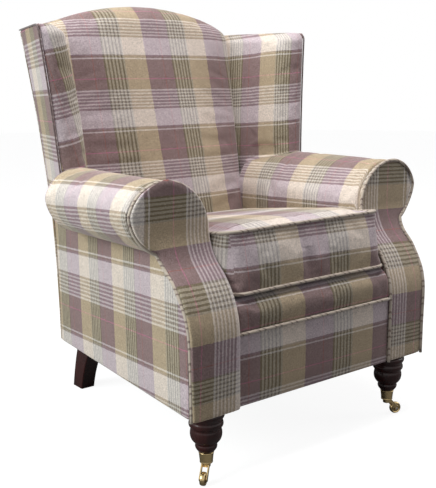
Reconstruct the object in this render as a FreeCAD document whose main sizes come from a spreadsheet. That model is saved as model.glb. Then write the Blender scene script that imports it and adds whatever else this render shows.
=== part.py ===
import FreeCAD, Part
import math
import os
import Sketcher
from FreeCAD import Placement, Rotation, Vector

# Fireside chair with wings, scroll arms, a loose seat cushion and front castors.
# Millimetres, +Z up, the chair faces -Y, origin on the floor under the middle of the chair.
# Left and right are the sitter's: left is +X. Depths are written from the front plane of
# the arm facings and every piece is then moved forward by front_to_centre.
doc = FreeCAD.newDocument("FiresideChair")
sheet = doc.addObject("Spreadsheet::Sheet", "Sizes")

# Driving dimensions, one cell each.
sizes = {
    "front_to_centre": 410.5,
    # seat frame
    "frame_underside": 165, "rail_height": 150, "rail_thickness": 25,
    "side_rail_thickness": 30, "corner_block_leg": 60, "corner_block_height": 50,
    "dust_cover_thickness": 1.2, "cover_gap": 6, "fit_gap": 0.3,
    # how far a construction slice runs past the piece cut from it
    "slice_reach": 60,
    # plan of the chair
    "arm_inner_x": 241, "arm_outer_x": 366, "rear_outer_x": 305, "cover_thickness": 5,
    # swept arm front: depth by height
    "facing_front": 5, "facing_thickness": 12, "sweep_start": 325, "sweep_depth": 105,
    "sweep_angle": 50, "sweep_lower_radius": 180,
    "stump_depth": 45, "stump_width": 30, "stump_top": 480,
    # arm section
    "arm_top": 653, "arm_roll_radius": 110, "scroll_outer_x": 439, "scroll_outer_z": 588,
    "scroll_under_bulge": 13, "neck_x": 381, "neck_z": 506, "waist_x": 371, "waist_z": 445,
    "arm_pad_thickness": 25, "arm_pad_rise": 4, "roll_seat": 505, "arm_roll_end": 484,
    "arm_tail_end": 600, "arm_rail_thickness": 24,
    # back: outer face on a large arc, inner face a leaning line
    "back_face_y": 689.5, "back_upright_z": 215, "back_radius": 2643, "back_cover_drop": 14,
    "rear_head_x": 328,
    "back_pad_gap": 1, "inside_back_y": 545, "inside_back_lean": 0.268,
    "inside_back_half": 245, "inside_back_flare": 0.0933, "crown_depth": 30,
    "arch_top": 1056, "arch_radius": 735, "arch_roll": 42, "roll_over_drop": 18,
    "roll_over_depth": 60, "pad_to_back": 58,
    "post_depth": 46, "post_width": 34, "post_inner_x": 250, "top_rail_drop": 166,
    "top_rail_thickness": 24, "lower_back_rail_bottom": 420, "lower_back_rail_height": 45,
    "back_strap_width": 55, "back_strap_start": 0.6,
    "strap_overlap": 26, "strap_thickness": 1.4,
    # wings
    "wing_bottom": 505.5, "wing_top": 988, "wing_front_low_x": 383, "wing_front_low_y": 476,
    "wing_front_high_x": 419, "wing_front_high_y": 509, "wing_flare_power": 1.5,
    "wing_thick_low": 72, "wing_thick_high": 62, "wing_board": 18, "wing_wrap": 32,
    "wing_tuck": 40, "wing_round": 30,
    # seat
    "border_rise": 14, "border_front": 6, "lip_height": 72, "lip_depth": 60, "lip_radius": 36,
    "deck_back": 540, "strap_width": 55,
    # seat cushion
    "cushion_gap": 0.6, "cushion_edge_rise": 11, "cushion_edge_height": 129,
    "cushion_front_low": 18, "cushion_front_high": 42, "cushion_crown": 27,
    "cushion_corner": 28, "cushion_draw": 5, "cushion_swell": 3, "cushion_edge_inset": 2.5,
    # piping
    "piping_radius": 3, "piping_out": 1.7, "piping_forward": 3.8, "piping_inset": 2.9,
    "wing_piping_out": 3.1,
    "cushion_piping_out": 2.2, "cushion_piping_lift": 2.7,
    # front legs, radii by height above the floor
    "front_leg_x": 294.5, "front_leg_y": 49, "leg_block_radius": 41, "leg_ring_radius": 38,
    "leg_bulge_radius": 35.5, "leg_neck_radius": 23, "leg_bulb_radius": 24.5,
    "leg_foot_radius": 15.3, "leg_tip_radius": 12.2, "leg_bolt_radius": 4,
    "leg_bolt_length": 90,
    # back legs
    "back_leg_outer_x": 235, "back_leg_width": 41, "back_leg_top_width": 46,
    "back_leg_splay": 15, "back_leg_front": 708, "back_leg_depth": 49, "back_leg_rake": 100,
    "back_leg_top_depth": 78,
    # castors
    "cup_top": 67.5, "cup_floor": 42, "cup_wall": 1.2, "cup_bore_gap": 0.2,
    "wheel_radius": 15, "wheel_width": 12, "castor_trail": 26, "swivel_gap": 0.3,
    "head_radius": 9.5, "head_height": 8, "stem_radius": 3.5, "rivet_radius": 5.5,
    "rivet_thickness": 1.5, "axle_radius": 2.5, "running_gap": 0.05, "cheek_thickness": 2.6,
    "cheek_gap": 0.5, "axle_boss_radius": 6, "left_castor_angle": -17, "right_castor_angle": -142,
}
for row, (name, value) in enumerate(sizes.items(), start=1):
    sheet.set(f"A{row}", name)
    sheet.set(f"B{row}", str(value))
    sheet.setAlias(f"B{row}", name)

# Heights that follow from the driving ones.
followers = {
    "border_top": "frame_underside + rail_height + border_rise",
    "lip_top": "frame_underside + rail_height + border_rise + lip_height",
    "arm_pad_bottom": "frame_underside + rail_height + arm_pad_rise",
    "inside_back_bottom": "lip_top + back_pad_gap",
    "cushion_bottom": "lip_top + cushion_gap",
    "cushion_edge_low": "lip_top + cushion_edge_rise",
    "cushion_edge_high": "lip_top + cushion_edge_rise + cushion_edge_height",
}
for row, (name, formula) in enumerate(followers.items(), start=len(sizes) + 2):
    sheet.set(f"A{row}", name)
    sheet.set(f"B{row}", f"={formula}")
    sheet.setAlias(f"B{row}", name)
doc.recompute()


class Size:
    """A value together with the spreadsheet formula that gives it."""

    def __init__(self, value, formula):
        self.value = value
        self.formula = formula

    def join(self, other, sign, swap=False):
        other = other if isinstance(other, Size) else Size(float(other), repr(float(other)))
        first, second = (other, self) if swap else (self, other)
        result = {
            "+": lambda: first.value + second.value,
            "-": lambda: first.value - second.value,
            "*": lambda: first.value * second.value,
            "/": lambda: first.value / second.value,
        }[sign]()
        return Size(result, f"({first.formula} {sign} {second.formula})")

    def __add__(self, other):
        return self.join(other, "+")

    def __radd__(self, other):
        return self.join(other, "+", True)

    def __sub__(self, other):
        return self.join(other, "-")

    def __rsub__(self, other):
        return self.join(other, "-", True)

    def __mul__(self, other):
        return self.join(other, "*")

    def __rmul__(self, other):
        return self.join(other, "*", True)

    def __truediv__(self, other):
        return self.join(other, "/")

    def __neg__(self):
        return Size(-self.value, f"(0 - {self.formula})")


class Cells:
    """cell.name is the Size of that spreadsheet cell, num.name its plain number."""

    def __init__(self, plain):
        self.plain = plain

    def __getattr__(self, name):
        value = float(sheet.get(name))
        return value if self.plain else Size(value, f"Sizes.{name}")


cell = Cells(False)
num = Cells(True)
pieces = {}


def bind(obj, prop, size):
    """Tie a property to the spreadsheet."""
    if isinstance(size, Size):
        obj.setExpression(prop, size.formula)
    else:
        obj.setExpression(prop, repr(float(size)))


def place(obj, x=0, y=0, z=0):
    """Tie an object's place to the spreadsheet, with y counted from the front plane."""
    bind(obj, "Placement.Base.x", x)
    bind(obj, "Placement.Base.y", y - cell.front_to_centre)
    bind(obj, "Placement.Base.z", z)


def keep(name, obj):
    """Name an object as a sub-part of the chair."""
    obj.Label = name
    pieces[name] = obj
    return obj


def box(name, x, y, z, dx, dy, dz):
    """A board with a corner at x, y, z."""
    obj = doc.addObject("Part::Box", name)
    bind(obj, "Length", dx)
    bind(obj, "Width", dy)
    bind(obj, "Height", dz)
    place(obj, x, y, z)
    return obj


def rod(name, x, y, z, radius, height):
    """An upright cylinder with its foot at x, y, z."""
    obj = doc.addObject("Part::Cylinder", name)
    bind(obj, "Radius", radius)
    bind(obj, "Height", height)
    place(obj, x, y, z)
    return obj


plane_turns = {
    "XY": Rotation(),
    "XZ": Rotation(Vector(1, 0, 0), 90),
    "YZ": Rotation(Vector(1, 1, 1), 120),
}
plane_normals = {"XY": Vector(0, 0, 1), "XZ": Vector(0, 1, 0), "YZ": Vector(1, 0, 0)}


def plain(size):
    """The number in a Size, or the number itself."""
    return size.value if isinstance(size, Size) else float(size)


def root(size):
    return Size(math.sqrt(size.value), f"sqrt({size.formula})")


def cosine(size):
    return Size(math.cos(math.radians(size.value)), f"cos({size.formula} * 1 deg)")


def sine(size):
    return Size(math.sin(math.radians(size.value)), f"sin({size.formula} * 1 deg)")


def hold(sketch, geometry, corner, point):
    """Tie one point of a sketch to its two formulas."""
    for kind, size in zip(("DistanceX", "DistanceY"), point):
        rule = Sketcher.Constraint(kind, -1, 1, geometry, corner, plain(size))
        index = sketch.addConstraint(rule)
        if isinstance(size, Size):
            sketch.setExpression(f"Constraints[{index}]", size.formula)


def draw(sketch, path):
    """Draw a closed outline: corners as (x, y), and ("arc", x, y) for a point an arc passes."""
    corners = [step for step in path if step[0] != "arc"]
    vias = {}
    count = 0
    for step in path:
        if step[0] == "arc":
            vias[count - 1] = step[1:]
        else:
            count += 1
    starts = []
    for index, corner in enumerate(corners):
        following = corners[(index + 1) % len(corners)]
        first = Vector(plain(corner[0]), plain(corner[1]), 0)
        last = Vector(plain(following[0]), plain(following[1]), 0)
        if index not in vias:
            geometry = sketch.addGeometry(Part.LineSegment(first, last), False)
            starts.append((geometry, 1, 2))
            continue
        via = Vector(plain(vias[index][0]), plain(vias[index][1]), 0)
        # A sketch keeps its arcs anticlockwise, so a clockwise one is drawn from its far end.
        if (via - first).cross(last - via).z > 0:
            geometry = sketch.addGeometry(Part.Arc(first, via, last), False)
            starts.append((geometry, 1, 2))
        else:
            geometry = sketch.addGeometry(Part.Arc(last, via, first), False)
            starts.append((geometry, 2, 1))
        mark = sketch.addGeometry(Part.Point(via), True)
        hold(sketch, mark, 1, vias[index])
        sketch.addConstraint(Sketcher.Constraint("PointOnObject", mark, 1, geometry))
    for index, (geometry, begin, _) in enumerate(starts):
        hold(sketch, geometry, begin, corners[index])
        before, _, end = starts[index - 1]
        sketch.addConstraint(Sketcher.Constraint("Coincident", before, end, geometry, begin))


def prism(name, plane, path, start, length):
    """An outline drawn on a plane and extruded along the plane's axis."""
    sketch = doc.addObject("Sketcher::SketchObject", f"{name}_outline")
    draw(sketch, path)
    sketch.Placement.Rotation = plane_turns[plane]
    offset = {"XY": (0, 0, start), "XZ": (0, start, 0), "YZ": (start, 0, 0)}[plane]
    place(sketch, *offset)
    obj = doc.addObject("Part::Extrusion", name)
    obj.Base = sketch
    obj.DirMode = "Custom"
    obj.Dir = plane_normals[plane]
    obj.Solid = True
    bind(obj, "LengthFwd", length)
    return obj


def common(name, first, second):
    obj = doc.addObject("Part::Common", name)
    obj.Base = first
    obj.Tool = second
    return obj


def cut(name, base, tool):
    obj = doc.addObject("Part::Cut", name)
    obj.Base = base
    obj.Tool = tool
    return obj


def fused(name, shapes):
    obj = doc.addObject("Part::MultiFuse", name)
    obj.Shapes = shapes
    return obj


def group(name, shapes):
    obj = doc.addObject("Part::Compound", name)
    obj.Links = shapes
    return obj


def mirrored(name, source):
    """The same piece on the other side of the chair."""
    obj = doc.addObject("Part::Mirroring", name)
    obj.Source = source
    obj.Normal = Vector(1, 0, 0)
    return obj


def formed(name, shape):
    """A free form, made by lofting, moved from the front plane to the chair's origin."""
    obj = doc.addObject("Part::Feature", name)
    obj.Shape = shape
    obj.Placement = Placement(Vector(0, -num.front_to_centre, 0), Rotation()) * shape.Placement
    return obj


def both_sides(name, left):
    """Keep a left piece and its mirror image."""
    keep(f"{name}_left", left)
    keep(f"{name}_right", mirrored(f"{name}_right", left))


def swept_band(name, near, far, inner, outer, low, high):
    """A slice of the arm front between two depths behind its swept face, or all behind it."""
    turn = cell.sweep_angle
    radius = cell.sweep_lower_radius
    upper = cell.sweep_depth / (1 - cosine(turn)) - radius
    top_z = cell.sweep_start + (radius + upper) * sine(turn)
    top_y = cell.facing_front + cell.sweep_depth

    def lower_point(depth, share):
        angle = turn * share
        reach = radius - depth
        return (cell.facing_front + radius - reach * cosine(angle),
                cell.sweep_start + reach * sine(angle))

    def upper_point(depth, share):
        angle = turn * share
        reach = upper + depth
        return (top_y - upper + reach * cosine(angle), top_z - reach * sine(angle))

    def rising(depth):
        return [
            (cell.facing_front + depth, low), lower_point(depth, 0),
            ("arc", *lower_point(depth, 0.5)), lower_point(depth, 1),
            ("arc", *upper_point(depth, 0.5)), upper_point(depth, 0),
            (top_y + depth, high),
        ]

    end = cell.back_face_y + cell.slice_reach
    beyond = rising(far)[::-1] if far else [(end, high), (end, low)]
    return prism(name, "YZ", rising(near) + beyond, inner, outer - inner)


def back_y(z, depth=0):
    """Depth of the back's outer arc at a height, moved forward by depth."""
    reach = cell.back_radius + depth
    rise = z - cell.back_upright_z
    return cell.back_face_y + cell.back_radius - root(reach * reach - rise * rise)


def back_drum(name, depth, start, length):
    """The large drum whose front is the curve of the back, moved forward by depth."""
    drum = doc.addObject("Part::Cylinder", name)
    drum.Placement.Rotation = Rotation(Vector(0, 1, 0), 90)
    bind(drum, "Radius", cell.back_radius + depth)
    bind(drum, "Height", length)
    place(drum, start, cell.back_face_y + cell.back_radius, cell.back_upright_z)
    return drum


def back_band(name, near, far, low, high, start, length):
    """A slice of the back between two depths in front of its outer curve."""
    ring = cut(f"{name}_ring", back_drum(f"{name}_front", far, start, length),
               back_drum(f"{name}_rear", near, start, length))
    limits = box(f"{name}_limits", start, 500, low, length, 500, high - low)
    return common(name, ring, limits)


def arm_outline(low):
    """Keyhole outline of the left arm, seen from the front."""
    roll = cell.arm_roll_radius
    diagonal = 0.70711
    crest = cell.arm_inner_x + roll
    run = cell.scroll_outer_x - crest
    fall = cell.arm_top - cell.scroll_outer_z
    outer_radius = (run * run + fall * fall) / (2 * fall)
    half_sine = root(run * run + fall * fall) / 2
    sagitta = outer_radius - root(outer_radius * outer_radius - half_sine * half_sine)
    length = half_sine * 2
    over = (crest + run / 2 + fall / length * sagitta,
            cell.arm_top - fall / 2 + run / length * sagitta)
    under_x = cell.scroll_outer_x - cell.neck_x
    under_z = cell.scroll_outer_z - cell.neck_z
    under_length = root(under_x * under_x + under_z * under_z)
    under = (cell.neck_x + under_x / 2 + under_z / under_length * cell.scroll_under_bulge,
             cell.neck_z + under_z / 2 - under_x / under_length * cell.scroll_under_bulge)
    return [
        (cell.arm_inner_x, low), (cell.arm_inner_x, cell.arm_top - roll),
        ("arc", crest - roll * diagonal, cell.arm_top - roll + roll * diagonal),
        (crest, cell.arm_top), ("arc", *over),
        (cell.scroll_outer_x, cell.scroll_outer_z), ("arc", *under),
        (cell.neck_x, cell.neck_z),
    ]


def outside_slope():
    """How fast the outside arm panels run in towards the back."""
    return (cell.arm_outer_x - cell.rear_outer_x) / cell.back_face_y


def outside_x(y, depth=0):
    """Face of the left outside arm panel at a depth, moved inwards."""
    return cell.arm_outer_x - depth - outside_slope() * y


def rail_front_y():
    return cell.facing_front + cell.facing_thickness + cell.fit_gap * 3


def seat_frame():
    """Beech rails on the underside of the upholstery, with blocks in their corners."""
    low = cell.frame_underside
    front_y = rail_front_y()
    skin = cell.cover_thickness + cell.fit_gap
    back_y_inner = cell.back_face_y - cell.cover_thickness - cell.side_rail_thickness
    side_y = front_y + cell.rail_thickness
    outer = outside_x(side_y, skin)
    rear_outer = outside_x(back_y_inner, skin)
    half = outer
    keep("seat_rail_front", box(
        "seat_rail_front", -half, front_y, low, half * 2, cell.rail_thickness,
        cell.rail_height))
    keep("seat_rail_back", box(
        "seat_rail_back", 3 - rear_outer, back_y_inner, low, rear_outer * 2 - 6,
        cell.side_rail_thickness, cell.rail_height))
    slope = outside_slope()
    inner = outer - cell.side_rail_thickness
    rear_inner = rear_outer - cell.side_rail_thickness
    plan = [(outer, side_y), (rear_outer, back_y_inner), (rear_inner, back_y_inner),
            (inner, side_y)]
    both_sides("seat_rail_side", prism(
        "seat_rail_side", "XY", plan, low, cell.rail_height))
    leg = cell.corner_block_leg
    front_block = prism("corner_block_front", "XY", [
        (inner, side_y), (inner - leg, side_y), (inner - slope * leg, side_y + leg),
    ], low, cell.corner_block_height)
    rear_block = prism("corner_block_rear", "XY", [
        (rear_inner, back_y_inner), (rear_inner + slope * leg, back_y_inner - leg),
        (rear_inner - leg, back_y_inner),
    ], low, cell.corner_block_height)
    bolt_hole = rod("front_bolt_hole", cell.front_leg_x, cell.front_leg_y, low,
                    cell.leg_bolt_radius, cell.leg_bolt_length)
    both_sides("corner_block_front", cut("corner_block_front", front_block, bolt_hole))
    both_sides("corner_block_rear", rear_block)
    cover_front = cell.front_leg_y + cell.leg_block_radius + cell.cover_gap
    cover_back = cell.back_leg_front - cell.back_leg_rake - cell.cover_gap
    keep("dust_cover", prism("dust_cover", "XY", [
        (inner - 4, cover_front), (rear_inner + 24, cover_back),
        (-rear_inner - 24, cover_back), (4 - inner, cover_front),
    ], low - cell.dust_cover_thickness, cell.dust_cover_thickness))


def arm_frame():
    """Swept front stump and arm rail of each arm, and the posts and rails of the back."""
    rail_top = cell.frame_underside + cell.rail_height
    near = cell.facing_thickness + cell.fit_gap
    stump_back = cell.facing_front + cell.sweep_depth + near + cell.stump_depth
    outer = outside_x(stump_back, cell.cover_thickness + 1)
    band = swept_band("stump_band", near, near + cell.stump_depth,
                      outer - cell.stump_width, outer, rail_top - 60, cell.arm_top)
    limits = box("stump_limits", 0, 0, rail_top, cell.arm_outer_x + cell.slice_reach,
                 stump_back + cell.slice_reach, cell.stump_top - rail_top)
    both_sides("arm_stump", common("arm_stump", band, limits))
    pad = cell.arm_inner_x + cell.arm_pad_thickness
    front_y = cell.facing_front + cell.sweep_depth + 20
    post_y = back_y(cell.stump_top, cell.cover_thickness + cell.post_depth + 1) - 4
    post_side = cell.post_inner_x + cell.post_width + cell.fit_gap
    both_sides("arm_rail", prism("arm_rail", "XY", [
        (pad + cell.fit_gap, front_y), (outside_x(front_y, 6), front_y),
        (outside_x(post_y + 30, 6), post_y + 30), (post_side, post_y + 30),
        (post_side, post_y), (pad + cell.fit_gap, post_y),
    ], cell.stump_top, cell.arm_rail_thickness))
    near = cell.cover_thickness + 1
    both_sides("back_post", back_band(
        "back_post", near, near + cell.post_depth, rail_top,
        cell.arch_top - cell.roll_over_depth - cell.roll_over_drop - 45,
        cell.post_inner_x, cell.post_width))
    width = cell.post_inner_x * 2
    rail_low = cell.arch_top - cell.top_rail_drop
    board = back_band("top_rail_band", near, near + cell.top_rail_thickness,
                      rail_low, cell.arch_top, -cell.post_inner_x, width)
    rise = cell.post_inner_x * cell.post_inner_x / cell.arch_radius / 2
    crest = cell.arch_top - cell.roll_over_depth - 2
    quarter = cell.post_inner_x / 2
    arch = prism("top_rail_arch", "XZ", [
        (-cell.post_inner_x, rail_low), (cell.post_inner_x, rail_low),
        (cell.post_inner_x, crest - rise), ("arc", quarter, crest - rise / 4),
        (-cell.post_inner_x, crest - rise),
    ], cell.back_face_y - cell.slice_reach, cell.slice_reach * 5)
    keep("top_rail", common("top_rail", board, arch))
    low = cell.lower_back_rail_bottom
    keep("lower_back_rail", box(
        "lower_back_rail", -cell.post_inner_x, back_y(low, near + cell.post_depth) + 6, low,
        width, cell.rail_thickness, cell.lower_back_rail_height))


def arm_covers():
    """Facing, padded inside arm with its roll, and outside panel of each arm."""
    low = cell.frame_underside
    keyhole = prism("facing_keyhole", "XZ", arm_outline(low) + [
        ("arc", cell.waist_x + 2, (cell.neck_z + cell.waist_z) / 2),
        (cell.waist_x, cell.waist_z), (cell.arm_outer_x, low),
    ], -cell.slice_reach, cell.sweep_depth + cell.slice_reach * 2)
    inner = cell.arm_inner_x / 2
    outer = cell.scroll_outer_x + cell.slice_reach
    above = cell.arm_top + cell.slice_reach
    face = swept_band("facing_band", 0, cell.facing_thickness, inner, outer, low, above)
    both_sides("arm_facing", common("arm_facing", keyhole, face))

    pad = cell.arm_inner_x + cell.arm_pad_thickness
    roll = prism("inside_arm_section", "XZ", arm_outline(cell.arm_pad_bottom) + [
        (cell.neck_x - 1, cell.roll_seat), (pad, cell.roll_seat), (pad, cell.arm_pad_bottom),
    ], 0, cell.arm_roll_end)
    behind = swept_band("inside_arm_front", cell.facing_thickness + cell.fit_gap, None,
                        inner, outer, low, above)
    front_part = common("inside_arm_front_part", roll, behind)
    wing_shell = cell.wing_board + cell.cover_thickness + 2
    wing_rear_x = cell.rear_outer_x + 3
    wing_rear_y = back_y(cell.wing_bottom, cell.cover_thickness)
    wing_slope = (cell.wing_front_low_x - wing_rear_x) / (wing_rear_y - cell.wing_front_low_y)

    def tail_x(y):
        return cell.wing_front_low_x - wing_shell - wing_slope * (y - cell.wing_front_low_y)

    tail = prism("inside_arm_tail_limits", "XY", [
        (cell.arm_inner_x - 20, cell.arm_roll_end),
        (tail_x(cell.arm_roll_end), cell.arm_roll_end),
        (tail_x(cell.arm_tail_end), cell.arm_tail_end),
        (cell.arm_inner_x - 20, cell.arm_tail_end),
    ], cell.arm_pad_bottom - 1, above - cell.arm_pad_bottom)
    section = prism("inside_arm_tail_section", "XZ", arm_outline(cell.arm_pad_bottom) + [
        (cell.neck_x - 1, cell.roll_seat), (pad, cell.roll_seat), (pad, cell.arm_pad_bottom),
    ], cell.arm_roll_end, cell.arm_tail_end - cell.arm_roll_end)
    tail_part = common("inside_arm_tail", section, tail)
    whole = fused("inside_arm_whole", [front_part, tail_part])
    doc.recompute()
    # The inside back is tucked between the arms, so the arms are cut to it.
    arm = whole.Shape.cut(moved(inside_back_form(num.fit_gap))).removeSplitter()
    left = doc.addObject("Part::Feature", "inside_arm_left")
    left.Shape = arm
    both_sides("inside_arm", left)

    thick = cell.cover_thickness
    rear_y = cell.back_face_y + 30
    plan = prism("outside_arm_plan", "XY", [
        (cell.arm_outer_x, 0), (outside_x(rear_y), rear_y), (outside_x(rear_y, thick), rear_y),
        (outside_x(0, thick), 0),
    ], low, cell.roll_seat - low - 1)
    near = cell.facing_thickness + cell.fit_gap
    side = swept_band("outside_arm_front", near, None, inner, outer, low - 5, above)
    panel = common("outside_arm_behind", plan, side)
    rear = back_drum("outside_arm_rear", thick + 0.5, inner, outer - inner)
    both_sides("outside_arm", cut("outside_arm", panel, rear))


def moved(shape):
    """A form at the place where its piece ends up."""
    copy = shape.copy()
    copy.translate(Vector(0, -num.front_to_centre, 0))
    return copy


def number_back_y(z, depth=0):
    return back_y(Size(z, "0"), depth).value


def arch_z(x):
    """Height of the arched top of the back across the chair."""
    return num.arch_top - x * x / num.arch_radius / 2


def inside_back_form(grow):
    """Padded back: upright sections across the chair, each rolled over the top rail."""
    low = num.inside_back_bottom - grow

    def section(share, crown):
        def point(y, z):
            half = num.inside_back_half + grow
            half += num.inside_back_flare * (z - num.inside_back_bottom)
            return Vector(share * half, y, z)

        def front(z):
            lean = num.inside_back_lean * (z - num.inside_back_bottom)
            return num.inside_back_y + lean - crown - grow

        top = arch_z(share * 300) + grow
        knee = top - num.arch_roll
        rear_top = top - num.roll_over_drop
        rear_low = top - num.roll_over_depth
        skin = num.cover_thickness + 0.4
        pad = num.pad_to_back
        corners = [
            point(front(low), low), point(front(knee), knee),
            point(front(top) + num.arch_roll, top),
            point(number_back_y(rear_top, skin), rear_top),
            point(number_back_y(rear_low, skin), rear_low),
            point(number_back_y(rear_low, pad), rear_low),
            point(number_back_y(low, pad), low),
        ]
        roll = math.sqrt(0.5)
        over = point(front(knee + num.arch_roll * roll) + num.arch_roll * (1 - roll) * 0.8,
                     knee + num.arch_roll * roll)
        middle = (rear_low + low) / 2
        behind = point(number_back_y(middle, pad), middle)
        rounded = Part.Arc(corners[1], over, corners[2]).discretize(6)
        hollow = Part.Arc(corners[5], behind, corners[6]).discretize(5)
        line = corners[:1] + rounded + corners[3:5] + hollow + corners[:1]
        return Part.makePolygon(line)

    depth = num.crown_depth
    rows = [(0, 1), (0.25, 0.95), (0.5, 0.79), (0.7, 0.56), (0.86, 0.3), (0.95, 0), (1, -0.5)]
    stations = [(-share, depth * rise) for share, rise in rows[:0:-1]]
    stations += [(share, depth * rise) for share, rise in rows]
    return Part.makeLoft([section(*station) for station in stations], True, True)


def wing_share(z):
    return (z - num.wing_bottom) / (num.wing_top - num.wing_bottom)


def wing_ends(z):
    """Outer front and outer rear corner of the left wing in plan at a height."""
    share = wing_share(z)
    flare = share ** num.wing_flare_power
    front = Vector(num.wing_front_low_x + (num.wing_front_high_x - num.wing_front_low_x) * flare,
                   num.wing_front_low_y + (num.wing_front_high_y - num.wing_front_low_y) * share,
                   z)
    rear_x = num.rear_outer_x + 3 + (num.rear_head_x - num.rear_outer_x - 3) * share
    return front, Vector(rear_x, number_back_y(z, num.cover_thickness + 1.3), z)


def wing_slab(heights, outer, inner, front_inset):
    """A board or panel between two depths inside the wing's outer line."""
    rings = []
    for z in heights:
        front, rear = wing_ends(z)
        along = (rear - front).normalize()
        inward = Vector(-along.y, along.x, 0)
        start = front + along * front_inset
        corners = [start + inward * outer, rear + inward * outer,
                   rear + inward * inner, start + inward * inner]
        rings.append(Part.makePolygon(corners + corners[:1]))
    return Part.makeLoft(rings, True, True)


def wing_pad(heights, shell, cap=False):
    """Padding between the wing's inner face and a shell depth, wrapped round its front edge."""
    rings = []
    for z, ease in heights:
        front, rear = wing_ends(z)
        along = (rear - front).normalize()
        inward = Vector(-along.y, along.x, 0)
        thick = num.wing_thick_low + (num.wing_thick_high - num.wing_thick_low) * wing_share(z)
        thick -= ease
        nose = front + along * ease * 0.4
        crease = num.inside_back_y + num.inside_back_lean * (z - num.inside_back_bottom)
        reach = (rear.y if cap else crease + num.wing_tuck) - front.y
        reach /= along.y
        bend = nose + inward * thick * 0.62 - along * 1
        inner = nose + inward * thick + along * thick * 0.5
        line = Part.Arc(nose, bend, inner).discretize(9)
        line += [
            front + inward * thick + along * reach, front + inward * shell + along * reach,
            front + inward * shell + along * num.wing_wrap, front + along * num.wing_wrap,
        ]
        rings.append(Part.makePolygon(line + line[:1]))
    return Part.makeLoft(rings, True, True)


def inside_back():
    """Arched and crowned inside back."""
    keep("inside_back", formed("inside_back", inside_back_form(0)))


def wings():
    """Padded wing, its board and its outside panel, on both sides."""
    top = num.wing_top
    levels = [num.wing_bottom, 640, 760, 860, top - num.wing_round, top - 6]
    outside = wing_slab(levels, 0, num.cover_thickness, num.wing_wrap + 0.3)
    both_sides("outside_wing", formed("outside_wing_left", outside))
    board = wing_slab(levels[:-1], num.cover_thickness + 0.3,
                      num.cover_thickness + num.wing_board, num.wing_wrap + 0.3)
    both_sides("wing_board", formed("wing_board_left", board))
    # Above the board the padding turns over it and becomes the top of the wing.
    board_top = levels[-2]
    pad = wing_pad([(level, 0) for level in levels[:-1]] + [(board_top + 1, 0)],
                   num.wing_board + num.cover_thickness + 0.6)
    cap = wing_pad([(board_top + 1, 0), (top - num.wing_round * 0.45, 3),
                    (top - num.wing_round * 0.15, 10), (top, 24)],
                   num.cover_thickness + 0.6, cap=True)
    pad = pad.fuse(cap).cut(inside_back_form(num.fit_gap))
    arm = pieces["inside_arm_left"].Shape.copy()
    arm.translate(Vector(0, num.front_to_centre, 0))
    reach = num.fit_gap
    for shift in (Vector(0, 0, reach), Vector(0, 0, -400), Vector(-reach, 0, reach)):
        lifted = arm.copy()
        lifted.translate(shift)
        pad = pad.cut(lifted)
    under = Part.makeBox(400, 400, num.roll_seat, Vector(200, 300, 1))
    pad = pad.cut(under)
    solids = sorted(pad.Solids, key=lambda solid: solid.Volume)
    both_sides("wing", formed("wing_left", solids[-1]))


def back_covers():
    """Flat outside back with its arched top, and the webbing behind the inside back."""
    low = cell.frame_underside
    panel = back_band("outside_back_band", 0, cell.cover_thickness, low, cell.arch_top,
                      -cell.scroll_outer_x, cell.scroll_outer_x * 2)
    head_z = cell.wing_top - 3
    rise = cell.arch_top - cell.back_cover_drop - head_z
    quarter = cell.rear_head_x / 2
    outline = prism("outside_back_outline", "XZ", [
        (-cell.rear_outer_x, low), (cell.rear_outer_x, low),
        (cell.rear_outer_x + 3, cell.roll_seat), (cell.rear_head_x, head_z),
        ("arc", quarter, head_z + rise * 0.765), (-cell.rear_head_x, head_z),
        (-cell.rear_outer_x - 3, cell.roll_seat),
    ], cell.back_face_y - cell.slice_reach, cell.slice_reach * 5)
    keep("outside_back", common("outside_back", panel, outline))
    near = cell.cover_thickness + 1 + cell.post_depth + 0.1
    across = []
    strap_low = cell.lower_back_rail_bottom
    strap_high = cell.arch_top - cell.top_rail_drop - cell.back_strap_width
    for index in range(4):
        share = (cell.back_strap_start + index) / (cell.back_strap_start + 3)
        bottom = strap_low + (strap_high - strap_low) * share
        across.append(back_band(
            f"back_strap_across_{index}", near, near + cell.strap_thickness, bottom,
            bottom + cell.back_strap_width, -cell.post_inner_x - cell.strap_overlap,
            cell.post_inner_x * 2 + cell.strap_overlap * 2))
    keep("back_webbing", group("back_webbing", across))


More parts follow.
